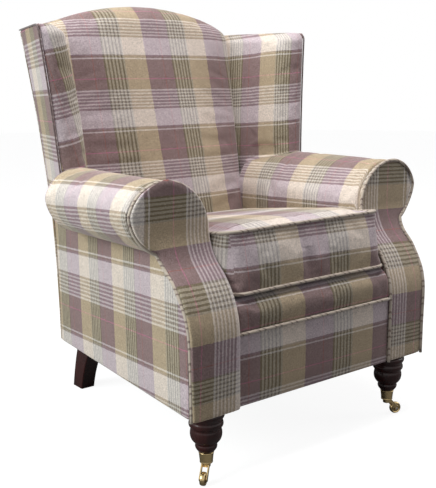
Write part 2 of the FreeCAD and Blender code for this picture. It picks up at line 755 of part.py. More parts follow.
def seat():
    """Border, rolled lip, webbing and deck of the seat, under the loose cushion."""
    low = cell.frame_underside
    half = cell.arm_inner_x - cell.fit_gap
    rail_y = rail_front_y()
    rail_top = low + cell.rail_height
    keep("front_border", box(
        "front_border", -half, cell.border_front, low, half * 2,
        rail_y - cell.border_front, cell.border_top - low))
    lip_low = cell.border_top + cell.fit_gap
    lip_back = cell.border_front + cell.lip_depth
    bend = cell.lip_radius * (1 - math.sqrt(0.5))
    keep("front_lip", prism("front_lip", "YZ", [
        (cell.border_front, lip_low), (cell.border_front, cell.lip_top - cell.lip_radius),
        ("arc", cell.border_front + bend, cell.lip_top - bend),
        (cell.border_front + cell.lip_radius, cell.lip_top), (lip_back, cell.lip_top),
        (lip_back, lip_low),
    ], -half, half * 2))
    deck_low = rail_top + cell.strap_thickness * 2 + 1
    keep("seat_deck", box(
        "seat_deck", -half, lip_back + cell.fit_gap, deck_low, half * 2,
        cell.deck_back - lip_back, cell.lip_top - deck_low))
    first_y = rail_y + 5
    rear_end = cell.back_face_y - cell.cover_thickness - 10
    spread = (cell.arm_inner_x * 2 - cell.strap_width) / 4
    lengthwise = [
        box(f"seat_strap_along_{index}", spread * index - cell.arm_inner_x, first_y, rail_top,
            cell.strap_width, rear_end - first_y, cell.strap_thickness)
        for index in range(5)]
    crosswise = [
        box(f"seat_strap_across_{index}", -cell.rear_outer_x + 12, 110 + index * 125,
            rail_top + cell.strap_thickness, cell.rear_outer_x * 2 - 24, cell.strap_width,
            cell.strap_thickness)
        for index in range(4)]
    keep("seat_webbing", group("seat_webbing", [
        fused("seat_straps", lengthwise + crosswise)]))


def cushion_front(z):
    """Depth of the cushion's front face, which leans back towards its top edge."""
    rise = (z - num.cushion_edge_low) / (num.cushion_edge_high - num.cushion_edge_low)
    return num.cushion_front_low + (num.cushion_front_high - num.cushion_front_low) * rise


def cushion_back(z):
    lean = num.inside_back_lean * (z - num.inside_back_bottom)
    return num.inside_back_y + lean - num.crown_depth - 1 - piping_reach()


def piping_reach():
    return num.cushion_piping_out + num.piping_radius - num.cushion_edge_inset


def cushion_half():
    return num.arm_inner_x - num.fit_gap - piping_reach()


def cushion_ring(z, inset, draw, edge_z=None):
    """One level of the cushion: round corners, sides drawn in between them."""
    edge_z = z if edge_z is None else edge_z
    half = cushion_half() - inset
    front = cushion_front(edge_z) + inset
    back = cushion_back(edge_z) - inset
    radius = max(num.cushion_corner - inset * 0.1, 12)
    middle = (front + back) / 2
    diagonal = radius * (1 - math.sqrt(0.5))

    def corner(sx, sy):
        y = back if sy > 0 else front
        return [Vector(sx * half, y - sy * radius, z),
                Vector(sx * (half - diagonal), y - sy * diagonal, z),
                Vector(sx * (half - radius), y, z)]

    first = corner(1, -1)[::-1]
    second = corner(1, 1)
    third = corner(-1, 1)[::-1]
    fourth = corner(-1, -1)
    sides = [Vector(half - draw, middle, z), Vector(0, back - draw, z),
             Vector(draw - half, middle, z), Vector(0, front + draw, z)]
    arcs = [first, [first[2], sides[0], second[0]], second, [second[2], sides[1], third[0]],
            third, [third[2], sides[2], fourth[0]], fourth, [fourth[2], sides[3], first[0]]]
    line = []
    for points in arcs:
        line += Part.Arc(*points).discretize(7)[:-1]
    return line + line[:1]


def cushion():
    """Loose box cushion: crowned top, panels swelling between the two piped edges."""
    low = num.cushion_edge_low
    high = num.cushion_edge_high
    draw = num.cushion_draw
    crown = num.cushion_crown
    swell = num.cushion_swell
    edge = num.cushion_edge_inset
    middle = (low + high) / 2
    rings = [
        cushion_ring(num.cushion_bottom, 16, draw, low), cushion_ring(low, edge, draw),
        cushion_ring(low + 20, edge - swell * 0.7, draw), cushion_ring(middle, edge - swell, draw),
        cushion_ring(high - 20, edge - swell * 0.7, draw), cushion_ring(high, edge, draw),
        cushion_ring(high + crown * 0.4, 22, draw, high),
        cushion_ring(high + crown * 0.72, 60, draw, high),
        cushion_ring(high + crown * 0.93, 115, draw, high),
        cushion_ring(high + crown, 175, draw, high),
    ]
    rings = [Part.makePolygon(ring) for ring in rings]
    keep("seat_cushion", formed("seat_cushion", Part.makeLoft(rings, True, True)))
    for name, z, lift in (("bottom", low, -1), ("top", high, 1)):
        seam = cushion_ring(z, edge - num.cushion_piping_out, draw, z)
        lifted = Vector(0, 0, lift * num.cushion_piping_lift)
        route = [point + lifted for point in seam[:-1]]
        cord = tube(route, num.piping_radius, closed=True)
        keep(f"cushion_piping_{name}", formed(f"cushion_piping_{name}", cord))


def tube(points, radius, closed=False, sides=6):
    """Piping: a cord with flat sides along a route, open or in a ring."""
    rings = []
    count = len(points)
    for index, point in enumerate(points):
        before = points[index - 1] if closed else points[max(index - 1, 0)]
        after = points[(index + 1) % count] if closed else points[min(index + 1, count - 1)]
        along = (after - before).normalize()
        aside = along.cross(Vector(0, 0.35, 1)).normalize()
        upward = aside.cross(along)
        ring = [point + (aside * math.cos(turn) + upward * math.sin(turn)) * radius
                for turn in (2 * math.pi * step / sides for step in range(sides))]
        rings.append(Part.makePolygon(ring + ring[:1]))
    if not closed:
        return Part.makeLoft(rings, True, True)
    half = count // 2
    first = Part.makeLoft(rings[:half + 1], True, True)
    second = Part.makeLoft(rings[half:] + rings[:1], True, True)
    return first.fuse(second)


def front_depth(z):
    """Depth of the swept arm front at a height."""
    turn = math.radians(num.sweep_angle)
    radius = num.sweep_lower_radius
    upper = num.sweep_depth / (1 - math.cos(turn)) - radius
    change = num.sweep_start + radius * math.sin(turn)
    end = num.sweep_start + (radius + upper) * math.sin(turn)
    if z <= num.sweep_start:
        return num.facing_front
    if z >= end:
        return num.facing_front + num.sweep_depth
    if z < change:
        return num.facing_front + radius - math.sqrt(radius ** 2 - (z - num.sweep_start) ** 2)
    top = num.facing_front + num.sweep_depth
    return top - upper + math.sqrt(upper ** 2 - (end - z) ** 2)


def facing_piping():
    """Route round the keyhole facing, on its swept edge; the inner run clears the cushion."""
    outline = doc.getObject("facing_keyhole_outline").Shape
    counts = (12, 8, 6, 6, 4, 10)
    points = []
    for side, count in zip(outline.Edges, counts):
        steps = side.discretize(count)
        if points and steps[-1].distanceToPoint(points[-1]) < 1e-6:
            steps.reverse()
        if not points and steps[0].z > steps[-1].z:
            steps.reverse()
        points += steps if not points else steps[1:]
    route = []
    for index, point in enumerate(points):
        before = points[max(index - 1, 0)]
        after = points[min(index + 1, len(points) - 1)]
        along = (after - before).normalize()
        rising = along.z > 0 and point.x < num.arm_inner_x + num.arm_roll_radius
        share = (point.x - num.arm_inner_x) / num.arm_roll_radius if rising else 1
        out = (num.piping_out + num.piping_inset) * share - num.piping_inset
        outward = Vector(-along.z, 0, along.x) * out
        slope = (front_depth(point.z + 1) - front_depth(point.z - 1)) / 2
        forward = num.piping_forward * math.hypot(1, slope)
        route.append(Vector(point.x + outward.x, front_depth(point.z) - forward,
                            point.z + outward.z))
    return route


def piping():
    """Cords on the arm facings, the wings and the seat border."""
    route = facing_piping()
    both_sides("facing_piping", formed("facing_piping_left", tube(route, num.piping_radius)))
    out = num.wing_piping_out
    route = []
    low = num.arm_top + num.piping_radius
    high = num.wing_top - num.wing_round + 4
    for share in (0, 0.15, 0.34, 0.54, 0.73, 0.9, 1):
        front, rear = wing_ends(low + (high - low) * share)
        along = (rear - front).normalize()
        route.append(front - Vector(-along.y, along.x, 0) * out - along * num.piping_forward)
    front, rear = wing_ends(num.wing_top)
    along = (rear - front).normalize()
    outward = Vector(along.y, -along.x, 0)
    for share, drop in ((0.035, 9), (0.09, 0.5), (0.3, -2.4), (0.6, -2.4), (0.97, -2.4)):
        point = front + (rear - front) * share + outward * out
        route.append(Vector(point.x, point.y, num.wing_top - drop))
    both_sides("wing_piping", formed("wing_piping_left", tube(route, num.piping_radius)))
    half = num.arm_inner_x - 6
    level = num.border_top + 0.15
    line = [Vector(-half, num.border_front - 3.2, level), Vector(half, num.border_front - 3.2,
                                                                 level)]
    keep("border_piping", formed("border_piping", tube(line, num.piping_radius)))


def turned_leg(name, side):
    """Turned mahogany front leg: block, cove, ring, bulge, neck and bulb above the cup."""
    body = doc.addObject("PartDesign::Body", name)
    sketch = body.newObject("Sketcher::SketchObject", f"{name}_profile")
    plane = [item for item in body.Origin.OriginFeatures if item.Role == "XZ_Plane"][0]
    sketch.AttachmentSupport = [(plane, "")]
    sketch.MapMode = "FlatFace"
    top = cell.frame_underside
    block = cell.leg_block_radius
    ring = cell.leg_ring_radius
    bulge = cell.leg_bulge_radius
    neck = cell.leg_neck_radius
    bulb = cell.leg_bulb_radius
    foot = cell.leg_foot_radius
    bore = cell.leg_bolt_radius
    bore_low = top - cell.leg_bolt_length / 2
    draw(sketch, [
        (bore, top), (bore, bore_low), (0, bore_low), (0, cell.cup_floor + 2.2),
        (cell.leg_tip_radius, cell.cup_floor + 2.2), (foot, cell.cup_top),
        (bulb - 4, cell.cup_top + 3), ("arc", bulb, cell.cup_top + 12),
        (neck, cell.cup_top + 20), ("arc", bulge - 3.5, top - 67), (bulge, top - 56),
        (bulge - 2.3, top - 43), (ring - 2.5, top - 40), ("arc", ring, top - 32.5),
        (ring - 2, top - 25), ("arc", ring - 1.2, top - 18), (block, top - 13), (block, top),
    ])
    turning = body.newObject("PartDesign::Revolution", f"{name}_turning")
    turning.Profile = sketch
    turning.ReferenceAxis = (sketch, ["V_Axis"])
    turning.Angle = 360
    sketch.Visibility = False
    place(body, side * cell.front_leg_x, cell.front_leg_y, 0)
    return keep(name, body)


def back_legs():
    """Square back legs, tapered, splayed, raked back and curved towards the foot."""
    top = num.frame_underside
    rings = []
    for share in (0, 0.25, 0.5, 0.75, 1):
        z = top * share
        width = num.back_leg_width + (num.back_leg_top_width - num.back_leg_width) * share
        deepening = num.back_leg_top_depth - num.back_leg_depth
        depth = num.back_leg_depth + deepening * share ** 2
        rake = num.back_leg_rake * (0.55 * share + 0.45 * share ** 2)
        x = num.back_leg_outer_x + num.back_leg_splay * share
        y = num.back_leg_front - rake
        corners = [Vector(x, y, z), Vector(x, y + depth, z), Vector(x - width, y + depth, z),
                   Vector(x - width, y, z)]
        rings.append(Part.makePolygon(corners + corners[:1]))
    both_sides("back_leg", formed("back_leg_left", Part.makeLoft(rings, True, True)))


def tapered_ring(name, x, y, low, height, radii_low, radii_high, floor=None):
    """A brass cup: an outer cone less an inner one."""
    outer = doc.addObject("Part::Cone", f"{name}_outer")
    bind(outer, "Radius1", radii_low[0])
    bind(outer, "Radius2", radii_high[0])
    bind(outer, "Height", height)
    place(outer, x, y, low)
    inner = doc.addObject("Part::Cone", f"{name}_inner")
    bind(inner, "Radius1", radii_low[1])
    bind(inner, "Radius2", radii_high[1])
    bind(inner, "Height", height - floor)
    place(inner, x, y, low + floor)
    return cut(f"{name}_bowl", outer, inner)


def castor(side, sign, angle):
    """Cup castor: cup and riveted pin on the leg, swivelling horn, wheel on its axle."""
    x = sign * cell.front_leg_x
    y = cell.front_leg_y
    floor = cell.cup_floor
    wall = cell.cup_wall
    gap = cell.cup_bore_gap
    bowl = tapered_ring(
        f"castor_cup_{side}", x, y, floor, cell.cup_top - floor,
        (cell.leg_tip_radius + wall, cell.leg_tip_radius + gap),
        (cell.leg_foot_radius + wall + gap, cell.leg_foot_radius + gap), wall + 0.8)
    keep(f"castor_cup_{side}", bowl)
    head_top = floor - cell.swivel_gap
    head_low = head_top - cell.head_height
    stem = rod(f"castor_stem_{side}", x, y, head_low - cell.swivel_gap, cell.stem_radius,
               floor - head_low + cell.swivel_gap)
    rivet = rod(f"castor_rivet_{side}", x, y,
                head_low - cell.swivel_gap - cell.rivet_thickness, cell.rivet_radius,
                cell.rivet_thickness)
    keep(f"castor_pin_{side}", fused(f"castor_pin_{side}", [stem, rivet]))

    # The horn is made with its trail along +X and then turned to its rest angle.
    trail = num.castor_trail
    head = Part.makeCylinder(num.head_radius, num.head_height)
    half = num.wheel_width / 2 + num.cheek_gap
    thick = num.cheek_thickness
    axle_z = num.wheel_radius - plain(head_low)
    boss = num.axle_boss_radius
    solids = [head]
    block = Part.makeBox(num.head_radius, 2 * (half + thick), num.head_height,
                         Vector(0, -half - thick, 0))
    solids.append(block)
    for low in (-half - thick, half):
        path = [Vector(0, low, num.head_height), Vector(num.head_radius, low, num.head_height),
                Vector(trail + boss * 0.6, low, axle_z + boss * 0.8),
                Vector(trail + boss * 0.6, low, axle_z - boss * 0.8),
                Vector(trail - boss, low, axle_z), Vector(num.head_radius - 3, low, 0),
                Vector(0, low, 0)]
        cheek = Part.Face(Part.makePolygon(path + path[:1])).extrude(Vector(0, thick, 0))
        round_end = Part.makeCylinder(boss, thick, Vector(trail, low, axle_z), Vector(0, 1, 0))
        solids += [cheek, round_end]
    horn = solids[0].multiFuse(solids[1:])
    bore = Part.makeCylinder(num.stem_radius + num.running_gap, 60, Vector(0, 0, -30))
    eye = Part.makeCylinder(num.axle_radius, 60, Vector(trail, -30, axle_z), Vector(0, 1, 0))
    room = Part.makeCylinder(num.wheel_radius + 1.5, 2 * half, Vector(trail, -half, axle_z),
                             Vector(0, 1, 0))
    horn = horn.cut(bore).cut(eye).cut(room).removeSplitter()
    axle = Part.makeCylinder(num.axle_radius, 2 * (half + thick) + 1,
                             Vector(trail, -half - thick - 0.5, axle_z), Vector(0, 1, 0))
    wheel = Part.makeCylinder(num.wheel_radius, num.wheel_width,
                              Vector(trail, -num.wheel_width / 2, axle_z), Vector(0, 1, 0))
    hub = Part.makeCylinder(num.axle_radius + num.running_gap, 40,
                            Vector(trail, -20, axle_z), Vector(0, 1, 0))
    wheel = wheel.cut(hub)
    turn = Rotation(Vector(0, 0, 1), angle.value)
    spot = Vector(plain(x), num.front_leg_y, plain(head_low))
    for name, shape in (("castor_horn", horn), ("castor_axle", axle), ("castor_wheel", wheel)):
        shape.Placement = Placement(spot, turn)
        keep(f"{name}_{side}", formed(f"{name}_{side}", shape))


def leg_bolts():
    """Hanger bolts that hold the front legs to the seat frame."""
    low = cell.frame_underside - cell.leg_bolt_length / 2
    bolts = [rod(f"leg_bolt_{side}", sign * cell.front_leg_x, cell.front_leg_y, low,
                 cell.leg_bolt_radius, cell.leg_bolt_length)
             for side, sign in (("left", 1), ("right", -1))]
    keep("front_leg_bolts", group("front_leg_bolts", bolts))


seat_frame()
arm_frame()
arm_covers()
inside_back()
wings()
back_covers()
seat()
cushion()
piping()
for side_name, side_sign in (("left", 1), ("right", -1)):
    turned_leg(f"front_leg_{side_name}", side_sign)
back_legs()
castor("left", 1, cell.left_castor_angle)
castor("right", -1, cell.right_castor_angle)
leg_bolts()
doc.recompute()

failed = [obj.Name for obj in doc.Objects if {"Invalid", "Error"} & set(obj.State)]
if failed:
    raise RuntimeError(f"failed: {failed}")
os.makedirs("parts", exist_ok=True)
for name, obj in pieces.items():
    shape = obj.Shape
    if shape.isNull() or not shape.isValid() or not shape.Solids:
        raise RuntimeError(f"{name} has no valid solid")
    shape.exportStep(f"parts/{name}.step")
box_all = Part.makeCompound([obj.Shape for obj in pieces.values()]).BoundBox
print(len(pieces), "pieces", box_all)
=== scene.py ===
import bmesh
import bpy
import math
from mathutils import Matrix, Vector


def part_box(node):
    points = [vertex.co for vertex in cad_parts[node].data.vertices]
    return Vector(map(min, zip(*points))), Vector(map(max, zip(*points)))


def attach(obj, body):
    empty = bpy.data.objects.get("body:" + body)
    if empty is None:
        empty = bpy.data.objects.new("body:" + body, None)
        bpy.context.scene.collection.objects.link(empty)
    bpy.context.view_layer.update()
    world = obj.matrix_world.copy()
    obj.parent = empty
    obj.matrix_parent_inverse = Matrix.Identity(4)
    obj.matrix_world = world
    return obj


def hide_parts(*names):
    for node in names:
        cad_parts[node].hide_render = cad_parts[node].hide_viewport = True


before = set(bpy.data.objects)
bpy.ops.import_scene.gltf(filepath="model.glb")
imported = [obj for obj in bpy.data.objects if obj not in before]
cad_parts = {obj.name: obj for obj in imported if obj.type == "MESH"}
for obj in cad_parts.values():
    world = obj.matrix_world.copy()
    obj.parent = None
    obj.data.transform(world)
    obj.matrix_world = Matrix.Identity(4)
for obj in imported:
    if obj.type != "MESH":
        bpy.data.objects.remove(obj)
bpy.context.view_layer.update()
print("frame loaded:", len(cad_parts), "nodes")

# The chair's main lines in millimetres: x from the middle, y from the front plane of the arms.
chair = {
    "frontToCentre": 410.5,
    "underside": 165.0,
    "facingFront": 5.0,
    "sweepStart": 325.0, "sweepDepth": 105.0, "sweepAngle": 50.0, "sweepLowerRadius": 180.0,
    "armInnerX": 241.0, "armOuterX": 366.0, "rearOuterX": 305.0, "backFaceY": 689.5,
    "armTop": 653.0, "armRoll": 110.0,
    "backUprightZ": 215.0, "backRadius": 2643.0, "backLean": 0.268,
    "insideBackY": 545.0, "insideBackLow": 402.0, "insideBackHalf": 245.0,
    "insideBackFlare": 0.0933, "archTop": 1056.0, "archRadius": 735.0,
}


def place(x, y, z):
    return Vector((x, y - chair["frontToCentre"], z)) / 1000


def frontDepth(z):
    turn = math.radians(chair["sweepAngle"])
    radius = chair["sweepLowerRadius"]
    start = chair["sweepStart"]
    upper = chair["sweepDepth"] / (1 - math.cos(turn)) - radius
    change = start + radius * math.sin(turn)
    end = start + (radius + upper) * math.sin(turn)
    if z <= start:
        return chair["facingFront"]
    if z >= end:
        return chair["facingFront"] + chair["sweepDepth"]
    if z < change:
        return chair["facingFront"] + radius - math.sqrt(radius ** 2 - (z - start) ** 2)
    top = chair["facingFront"] + chair["sweepDepth"]
    return top - upper + math.sqrt(upper ** 2 - (end - z) ** 2)


def backY(z, depth=0.0):
    reach = chair["backRadius"] + depth
    return (chair["backFaceY"] + chair["backRadius"]
            - math.sqrt(reach ** 2 - (z - chair["backUprightZ"]) ** 2))


def backFront(z):
    # front face of the inside back before its crown
    return chair["insideBackY"] + chair["backLean"] * (z - chair["insideBackLow"])


def backHalf(z):
    return chair["insideBackHalf"] + chair["insideBackFlare"] * (z - chair["insideBackLow"])


def outsideX(y):
    slope = (chair["armOuterX"] - chair["rearOuterX"]) / chair["backFaceY"]
    return chair["armOuterX"] - slope * y


def archZ(x):
    return chair["archTop"] - x * x / chair["archRadius"] / 2


def lerp(low, high, share):
    return low + (high - low) * share


def fade(low, high, value):
    share = min(1.0, max(0.0, (value - low) / (high - low)))
    return share * share * (3 - 2 * share)


def steps(rows, value):
    # reads a value from a short table of (place, value) rows
    if value <= rows[0][0]:
        return rows[0][1]
    for (lowPlace, lowValue), (highPlace, highValue) in zip(rows, rows[1:]):
        if value <= highPlace:
            return lerp(lowValue, highValue, (value - lowPlace) / (highPlace - lowPlace))
    return rows[-1][1]


def arcThrough(first, via, last, count):
    (ax, ay), (bx, by), (cx, cy) = first, via, last
    area = 2 * (ax * (by - cy) + bx * (cy - ay) + cx * (ay - by))
    a2, b2, c2 = ax * ax + ay * ay, bx * bx + by * by, cx * cx + cy * cy
    centreX = (a2 * (by - cy) + b2 * (cy - ay) + c2 * (ay - by)) / area
    centreY = (a2 * (cx - bx) + b2 * (ax - cx) + c2 * (bx - ax)) / area
    radius = math.hypot(ax - centreX, ay - centreY)
    start = math.atan2(ay - centreY, ax - centreX)
    middle = (math.atan2(by - centreY, bx - centreX) - start) % math.tau
    sweep = (math.atan2(cy - centreY, cx - centreX) - start) % math.tau
    if middle > sweep:
        sweep -= math.tau
    return [(centreX + radius * math.cos(start + sweep * i / count),
             centreY + radius * math.sin(start + sweep * i / count)) for i in range(count + 1)]


def along(points, share):
    # the place at a share of a line's length, and the length up to there
    lengths = [0.0]
    for before, after in zip(points, points[1:]):
        lengths.append(lengths[-1] + (Vector(after) - Vector(before)).length)
    run = share * lengths[-1]
    for i in range(1, len(points)):
        if run <= lengths[i] or i == len(points) - 1:
            span = max(lengths[i] - lengths[i - 1], 1e-9)
            part = (run - lengths[i - 1]) / span
            return Vector(points[i - 1]).lerp(Vector(points[i]), part), run


# The arm's scroll in front view: places (x, z) that its arcs start, pass and end at.
scroll = {
    "rollStart": (241.0, 543.0), "rollVia": (273.2, 620.8), "crest": (351.0, 653.0),
    "overVia": (408.6, 634.2), "outer": (439.0, 588.0), "underVia": (420.6, 539.5),
    "neck": (381.0, 506.0), "waistVia": (373.0, 475.5), "waist": (371.0, 445.0),
}
crestX = scroll["crest"][0]
rollZ = scroll["rollStart"][1]
rollInner = arcThrough(scroll["rollStart"], scroll["rollVia"], scroll["crest"], 18)
scrollOver = arcThrough(scroll["crest"], scroll["overVia"], scroll["outer"], 14)
scrollUnder = arcThrough(scroll["outer"], scroll["underVia"], scroll["neck"], 12)
waistLine = arcThrough(scroll["neck"], scroll["waistVia"], scroll["waist"], 6)
keyholeOuter = [(chair["armOuterX"], chair["underside"])] + waistLine[::-1]
keyholeOuter += scrollUnder[::-1][1:] + scrollOver[::-1][1:]


def facingEdges(z):
    # inner and outer x of the keyhole at a height
    inner = chair["armInnerX"]
    if z > rollZ:
        inner = crestX - math.sqrt(max(0.0, chair["armRoll"] ** 2 - (z - rollZ) ** 2))
    return inner, steps([(point[1], point[0]) for point in keyholeOuter], z)


# Wires and finishes for materials.
def wiring(operation, swapped=False):
    # a method that does its maths in a node
    def method(self, other=0.0):
        first, second = (other, self) if swapped else (self, other)
        return self.tree.node("ShaderNodeMath", {"operation": operation}, {0: first, 1: second})
    return method


class Wire:
    def __init__(self, tree, socket):
        self.tree = tree
        self.socket = socket

    __add__ = __radd__ = wiring("ADD")
    __mul__ = __rmul__ = wiring("MULTIPLY")
    __sub__ = wiring("SUBTRACT")
    __rsub__ = wiring("SUBTRACT", swapped=True)
    __truediv__ = wiring("DIVIDE")
    __mod__ = wiring("FLOORED_MODULO")
    __gt__ = wiring("GREATER_THAN")
    __abs__ = wiring("ABSOLUTE")
    most = wiring("MAXIMUM")


class NodeTree:
    # the nodes of a material or of the world, added one at a time
    def __init__(self, tree):
        self.nodes = tree.nodes
        self.links = tree.links
        self.nodes.clear()

    def node(self, kind, settings=None, values=None, output=0):
        made = self.nodes.new(kind)
        for key, value in (settings or {}).items():
            if key == "stops":
                ramp = made.color_ramp
                while len(ramp.elements) < len(value):
                    ramp.elements.new(1.0)
                for element, (position, colour) in zip(ramp.elements, value):
                    element.position = position
                    element.color = colour
            elif key == "interpolation":
                made.color_ramp.interpolation = value
            else:
                setattr(made, key, value)
        for key, value in (values or {}).items():
            if isinstance(value, Wire):
                self.links.new(value.socket, made.inputs[key])
            else:
                made.inputs[key].default_value = value
        return Wire(self, made.outputs[output]) if made.outputs else None


class Finish(NodeTree):
    def __init__(self, name, constants):
        self.material = bpy.data.materials.new(name)
        self.material.use_nodes = True
        super().__init__(self.material.node_tree)
        self.shader = self.node("ShaderNodeBsdfPrincipled").socket.node
        self.node("ShaderNodeOutputMaterial", {}, {0: Wire(self, self.shader.outputs[0])})
        for socket, value in constants.items():
            self.shader.inputs[socket].default_value = value

    def objectPlace(self):
        return self.node("ShaderNodeTexCoord", output="Object")

    def parts(self, place):
        # x, y and z of a place
        split = self.node("ShaderNodeSeparateXYZ", {}, {0: place}).socket.node
        return [Wire(self, output) for output in split.outputs]

    def noise(self, scale, detail=3.0, roughness=0.55, place=None):
        return self.node("ShaderNodeTexNoise", {}, {
            "Vector": place or self.objectPlace(), "Scale": scale, "Detail": detail,
            "Roughness": roughness})

    def mix(self, factor, first, second, blend="MIX"):
        return self.node("ShaderNodeMix", {"data_type": "RGBA", "blend_type": blend},
                         {0: factor, 6: first, 7: second}, output=2)

    def shaded(self, colour, tone):
        return self.mix(1.0, colour, self.node(
            "ShaderNodeCombineColor", {}, {0: tone, 1: tone, 2: tone}), "MULTIPLY")

    def bands(self, share, stops, interpolation="CONSTANT"):
        return self.node("ShaderNodeValToRGB", {
            "interpolation": interpolation, "stops": stops}, {0: share})

    def use(self, socket, wire):
        self.links.new(wire.socket, self.shader.inputs[socket])

    def bump(self, height, strength, distance):
        self.use("Normal", self.node("ShaderNodeBump", {}, {
            "Height": height, "Strength": strength, "Distance": distance}))


def paint(red, green, blue):
    return (red, green, blue, 1.0)


def clothSpot(lay, across, down):
    # the cloth's own metres for a place over the form in millimetres; each row of lay holds
    # a shift and how fast the cloth runs across and down, as it is never pulled quite even
    return tuple((shift + acrossRate * across + downRate * down) / 1000
                 for shift, acrossRate, downRate in lay)


# Woollen plaid. Repeats and bands are in metres of cloth; the cloth map holds metres too.
plaid = {
    "warpRepeat": 0.211, "weftRepeat": 0.192,
    "mauve": paint(0.265, 0.165, 0.222), "beige": paint(0.565, 0.445, 0.325),
    "light": paint(0.60, 0.555, 0.545), "dark": paint(0.125, 0.093, 0.032),
    "warpPale": paint(0.45, 0.40, 0.33), "warpLine": paint(0.16, 0.13, 0.105),
    "weftPale": paint(0.51, 0.475, 0.435), "weftLine": paint(0.17, 0.135, 0.11),
    "redLine": paint(0.36, 0.09, 0.13), "fleck": paint(0.75, 0.68, 0.64),
    "twillPitch": 0.0021, "heather": 0.5, "slub": 1.5, "clouds": 0.16, "stray": 0.0036,
    "biasPatch": 0.047,
}


def stripeStops(bands, repeat):
    # bands are (width in metres, colour); a stop stands at the start of each
    stops = []
    start = 0.0
    for width, colour in bands:
        stops.append((start / repeat, colour))
        start += width
    return stops


def lineGroup(width, count, first, second):
    pitch = width / count
    return [(pitch * share, colour) for _ in range(count)
            for share, colour in ((0.45, first), (0.55, second))]


def plaidWool(name, depth=1.0):
    cloth = Finish(name, {"Roughness": 0.92, "Specular IOR Level": 0.25, "Sheen Weight": 0.28,
                          "Sheen Roughness": 0.45, "Sheen Tint": paint(0.9, 0.85, 0.8)})
    warpBands = [(0.052, plaid["mauve"]), (0.0022, plaid["redLine"]), (0.0288, plaid["mauve"])]
    warpBands += lineGroup(0.062, 6, plaid["warpLine"], plaid["warpPale"])
    warpBands += [(0.066, plaid["beige"])]
    weftBands = lineGroup(0.052, 6, plaid["weftPale"], plaid["weftLine"])
    weftBands += [(0.047, plaid["light"]), (0.0035, plaid["weftLine"]), (0.0045, plaid["dark"]),
                  (0.0035, plaid["weftPale"]), (0.0515, plaid["dark"]),
                  (0.0020, plaid["redLine"]), (0.0280, plaid["dark"])]
    across, down, _ = cloth.parts(cloth.node("ShaderNodeUVMap", {"uv_map": "cloth"}))
    stray = (cloth.noise(280.0, 2.0) - 0.5) * plaid["stray"]
    warp = cloth.bands(((across + stray) / plaid["warpRepeat"]) % 1.0,
                       stripeStops(warpBands, plaid["warpRepeat"]))
    weft = cloth.bands(((down + stray) / plaid["weftRepeat"]) % 1.0,
                       stripeStops(weftBands, plaid["weftRepeat"]))
    twill = ((across + down) / plaid["twillPitch"]) % 1.0
    woven = cloth.mix((twill > 0.5) * 0.24 + 0.38, warp, weft)
    fibres = cloth.noise(1500.0, 4.0, 0.7)
    clouds = cloth.noise(34.0, 2.0)
    slubs = cloth.noise(330.0, 2.0, 0.7)
    # depth scales the whole cloth's tone; below 1 it paints shade onto a copy of the plaid
    tone = ((fibres - 0.5) * plaid["heather"] + (slubs - 0.5) * plaid["slub"]
            + (clouds - 0.5) * plaid["clouds"] + depth)
    fleck = cloth.noise(800.0, 1.0) > 0.66
    cloth.use("Base Color", cloth.mix(fleck * 0.22, cloth.shaded(woven, tone), plaid["fleck"]))
    cloth.use("Roughness", fibres * 0.1 + 0.86)
    cloth.bump(abs(twill - 0.5) * 0.5 + fibres * 0.7, 0.35, 0.0006)
    return cloth.material


def cordWool(name, tone, accent):
    # the bias-cut cloth round a piping cord: short slanted patches of the plaid's colours
    cloth = Finish(name, {"Roughness": 0.93, "Specular IOR Level": 0.2, "Sheen Weight": 0.25})
    x, y, z = cloth.parts(cloth.objectPlace())
    patches = cloth.bands((x + y + z) / plaid["biasPatch"] % 1.0, [
        (0.0, tone), (0.3, accent), (0.4, tone), (0.62, accent), (0.74, tone)])
    fibres = cloth.noise(1500.0, 4.0, 0.7)
    cloth.use("Base Color", cloth.shaded(patches, fibres * 0.4 + 0.72))
    cloth.bump(fibres, 0.3, 0.0005)
    return cloth.material


def woodFinish(name, light, dark, grain, gloss, coat=0.0):
    wood = Finish(name, {"Coat Weight": coat, "Coat Roughness": 0.06,
                         "Specular IOR Level": 0.18})
    stretched = wood.node("ShaderNodeMapping", {}, {
        "Vector": wood.objectPlace(), "Scale": grain})
    rings = wood.noise(26.0, 6.0, 0.6, stretched)
    fine = wood.noise(160.0, 4.0, 0.6, stretched)
    wood.use("Base Color", wood.bands(rings * 0.75 + fine * 0.3, [
        (0.3, dark), (0.72, light)], "LINEAR"))
    wood.use("Roughness", fine * 0.18 + gloss)
    wood.bump(fine, 0.12, 0.0004)
    return wood.material


def brassFinish(name):
    brass = Finish(name, {"Metallic": 1.0})
    worn = brass.noise(60.0, 4.0)
    fine = brass.noise(900.0, 3.0)
    brass.use("Base Color", brass.mix(worn, paint(0.66, 0.50, 0.26), paint(0.42, 0.31, 0.16)))
    brass.use("Roughness", worn * 0.18 + fine * 0.06 + 0.12)
    brass.bump(fine, 0.05, 0.0002)
    return brass.material


def steelFinish(name):
    steel = Finish(name, {"Metallic": 1.0})
    brushed = steel.noise(700.0, 3.0)
    steel.use("Base Color", steel.mix(brushed, paint(0.42, 0.42, 0.43), paint(0.58, 0.58, 0.6)))
    steel.use("Roughness", brushed * 0.2 + 0.28)
    return steel.material


def wovenFinish(name, first, second, pitch):
    # plain woven band or cloth, by place
    cloth = Finish(name, {"Roughness": 0.9, "Specular IOR Level": 0.2})
    x, y, _ = cloth.parts(cloth.objectPlace())
    lengthwise = abs(x / pitch % 1.0 - 0.5)
    crosswise = abs(y / pitch % 1.0 - 0.5)
    weave = lengthwise + crosswise
    fuzz = cloth.noise(1200.0, 3.0)
    cloth.use("Base Color", cloth.mix(weave * 0.7 + fuzz * 0.4, first, second))
    cloth.bump(weave + fuzz * 0.5, 0.4, 0.0005)
    return cloth.material


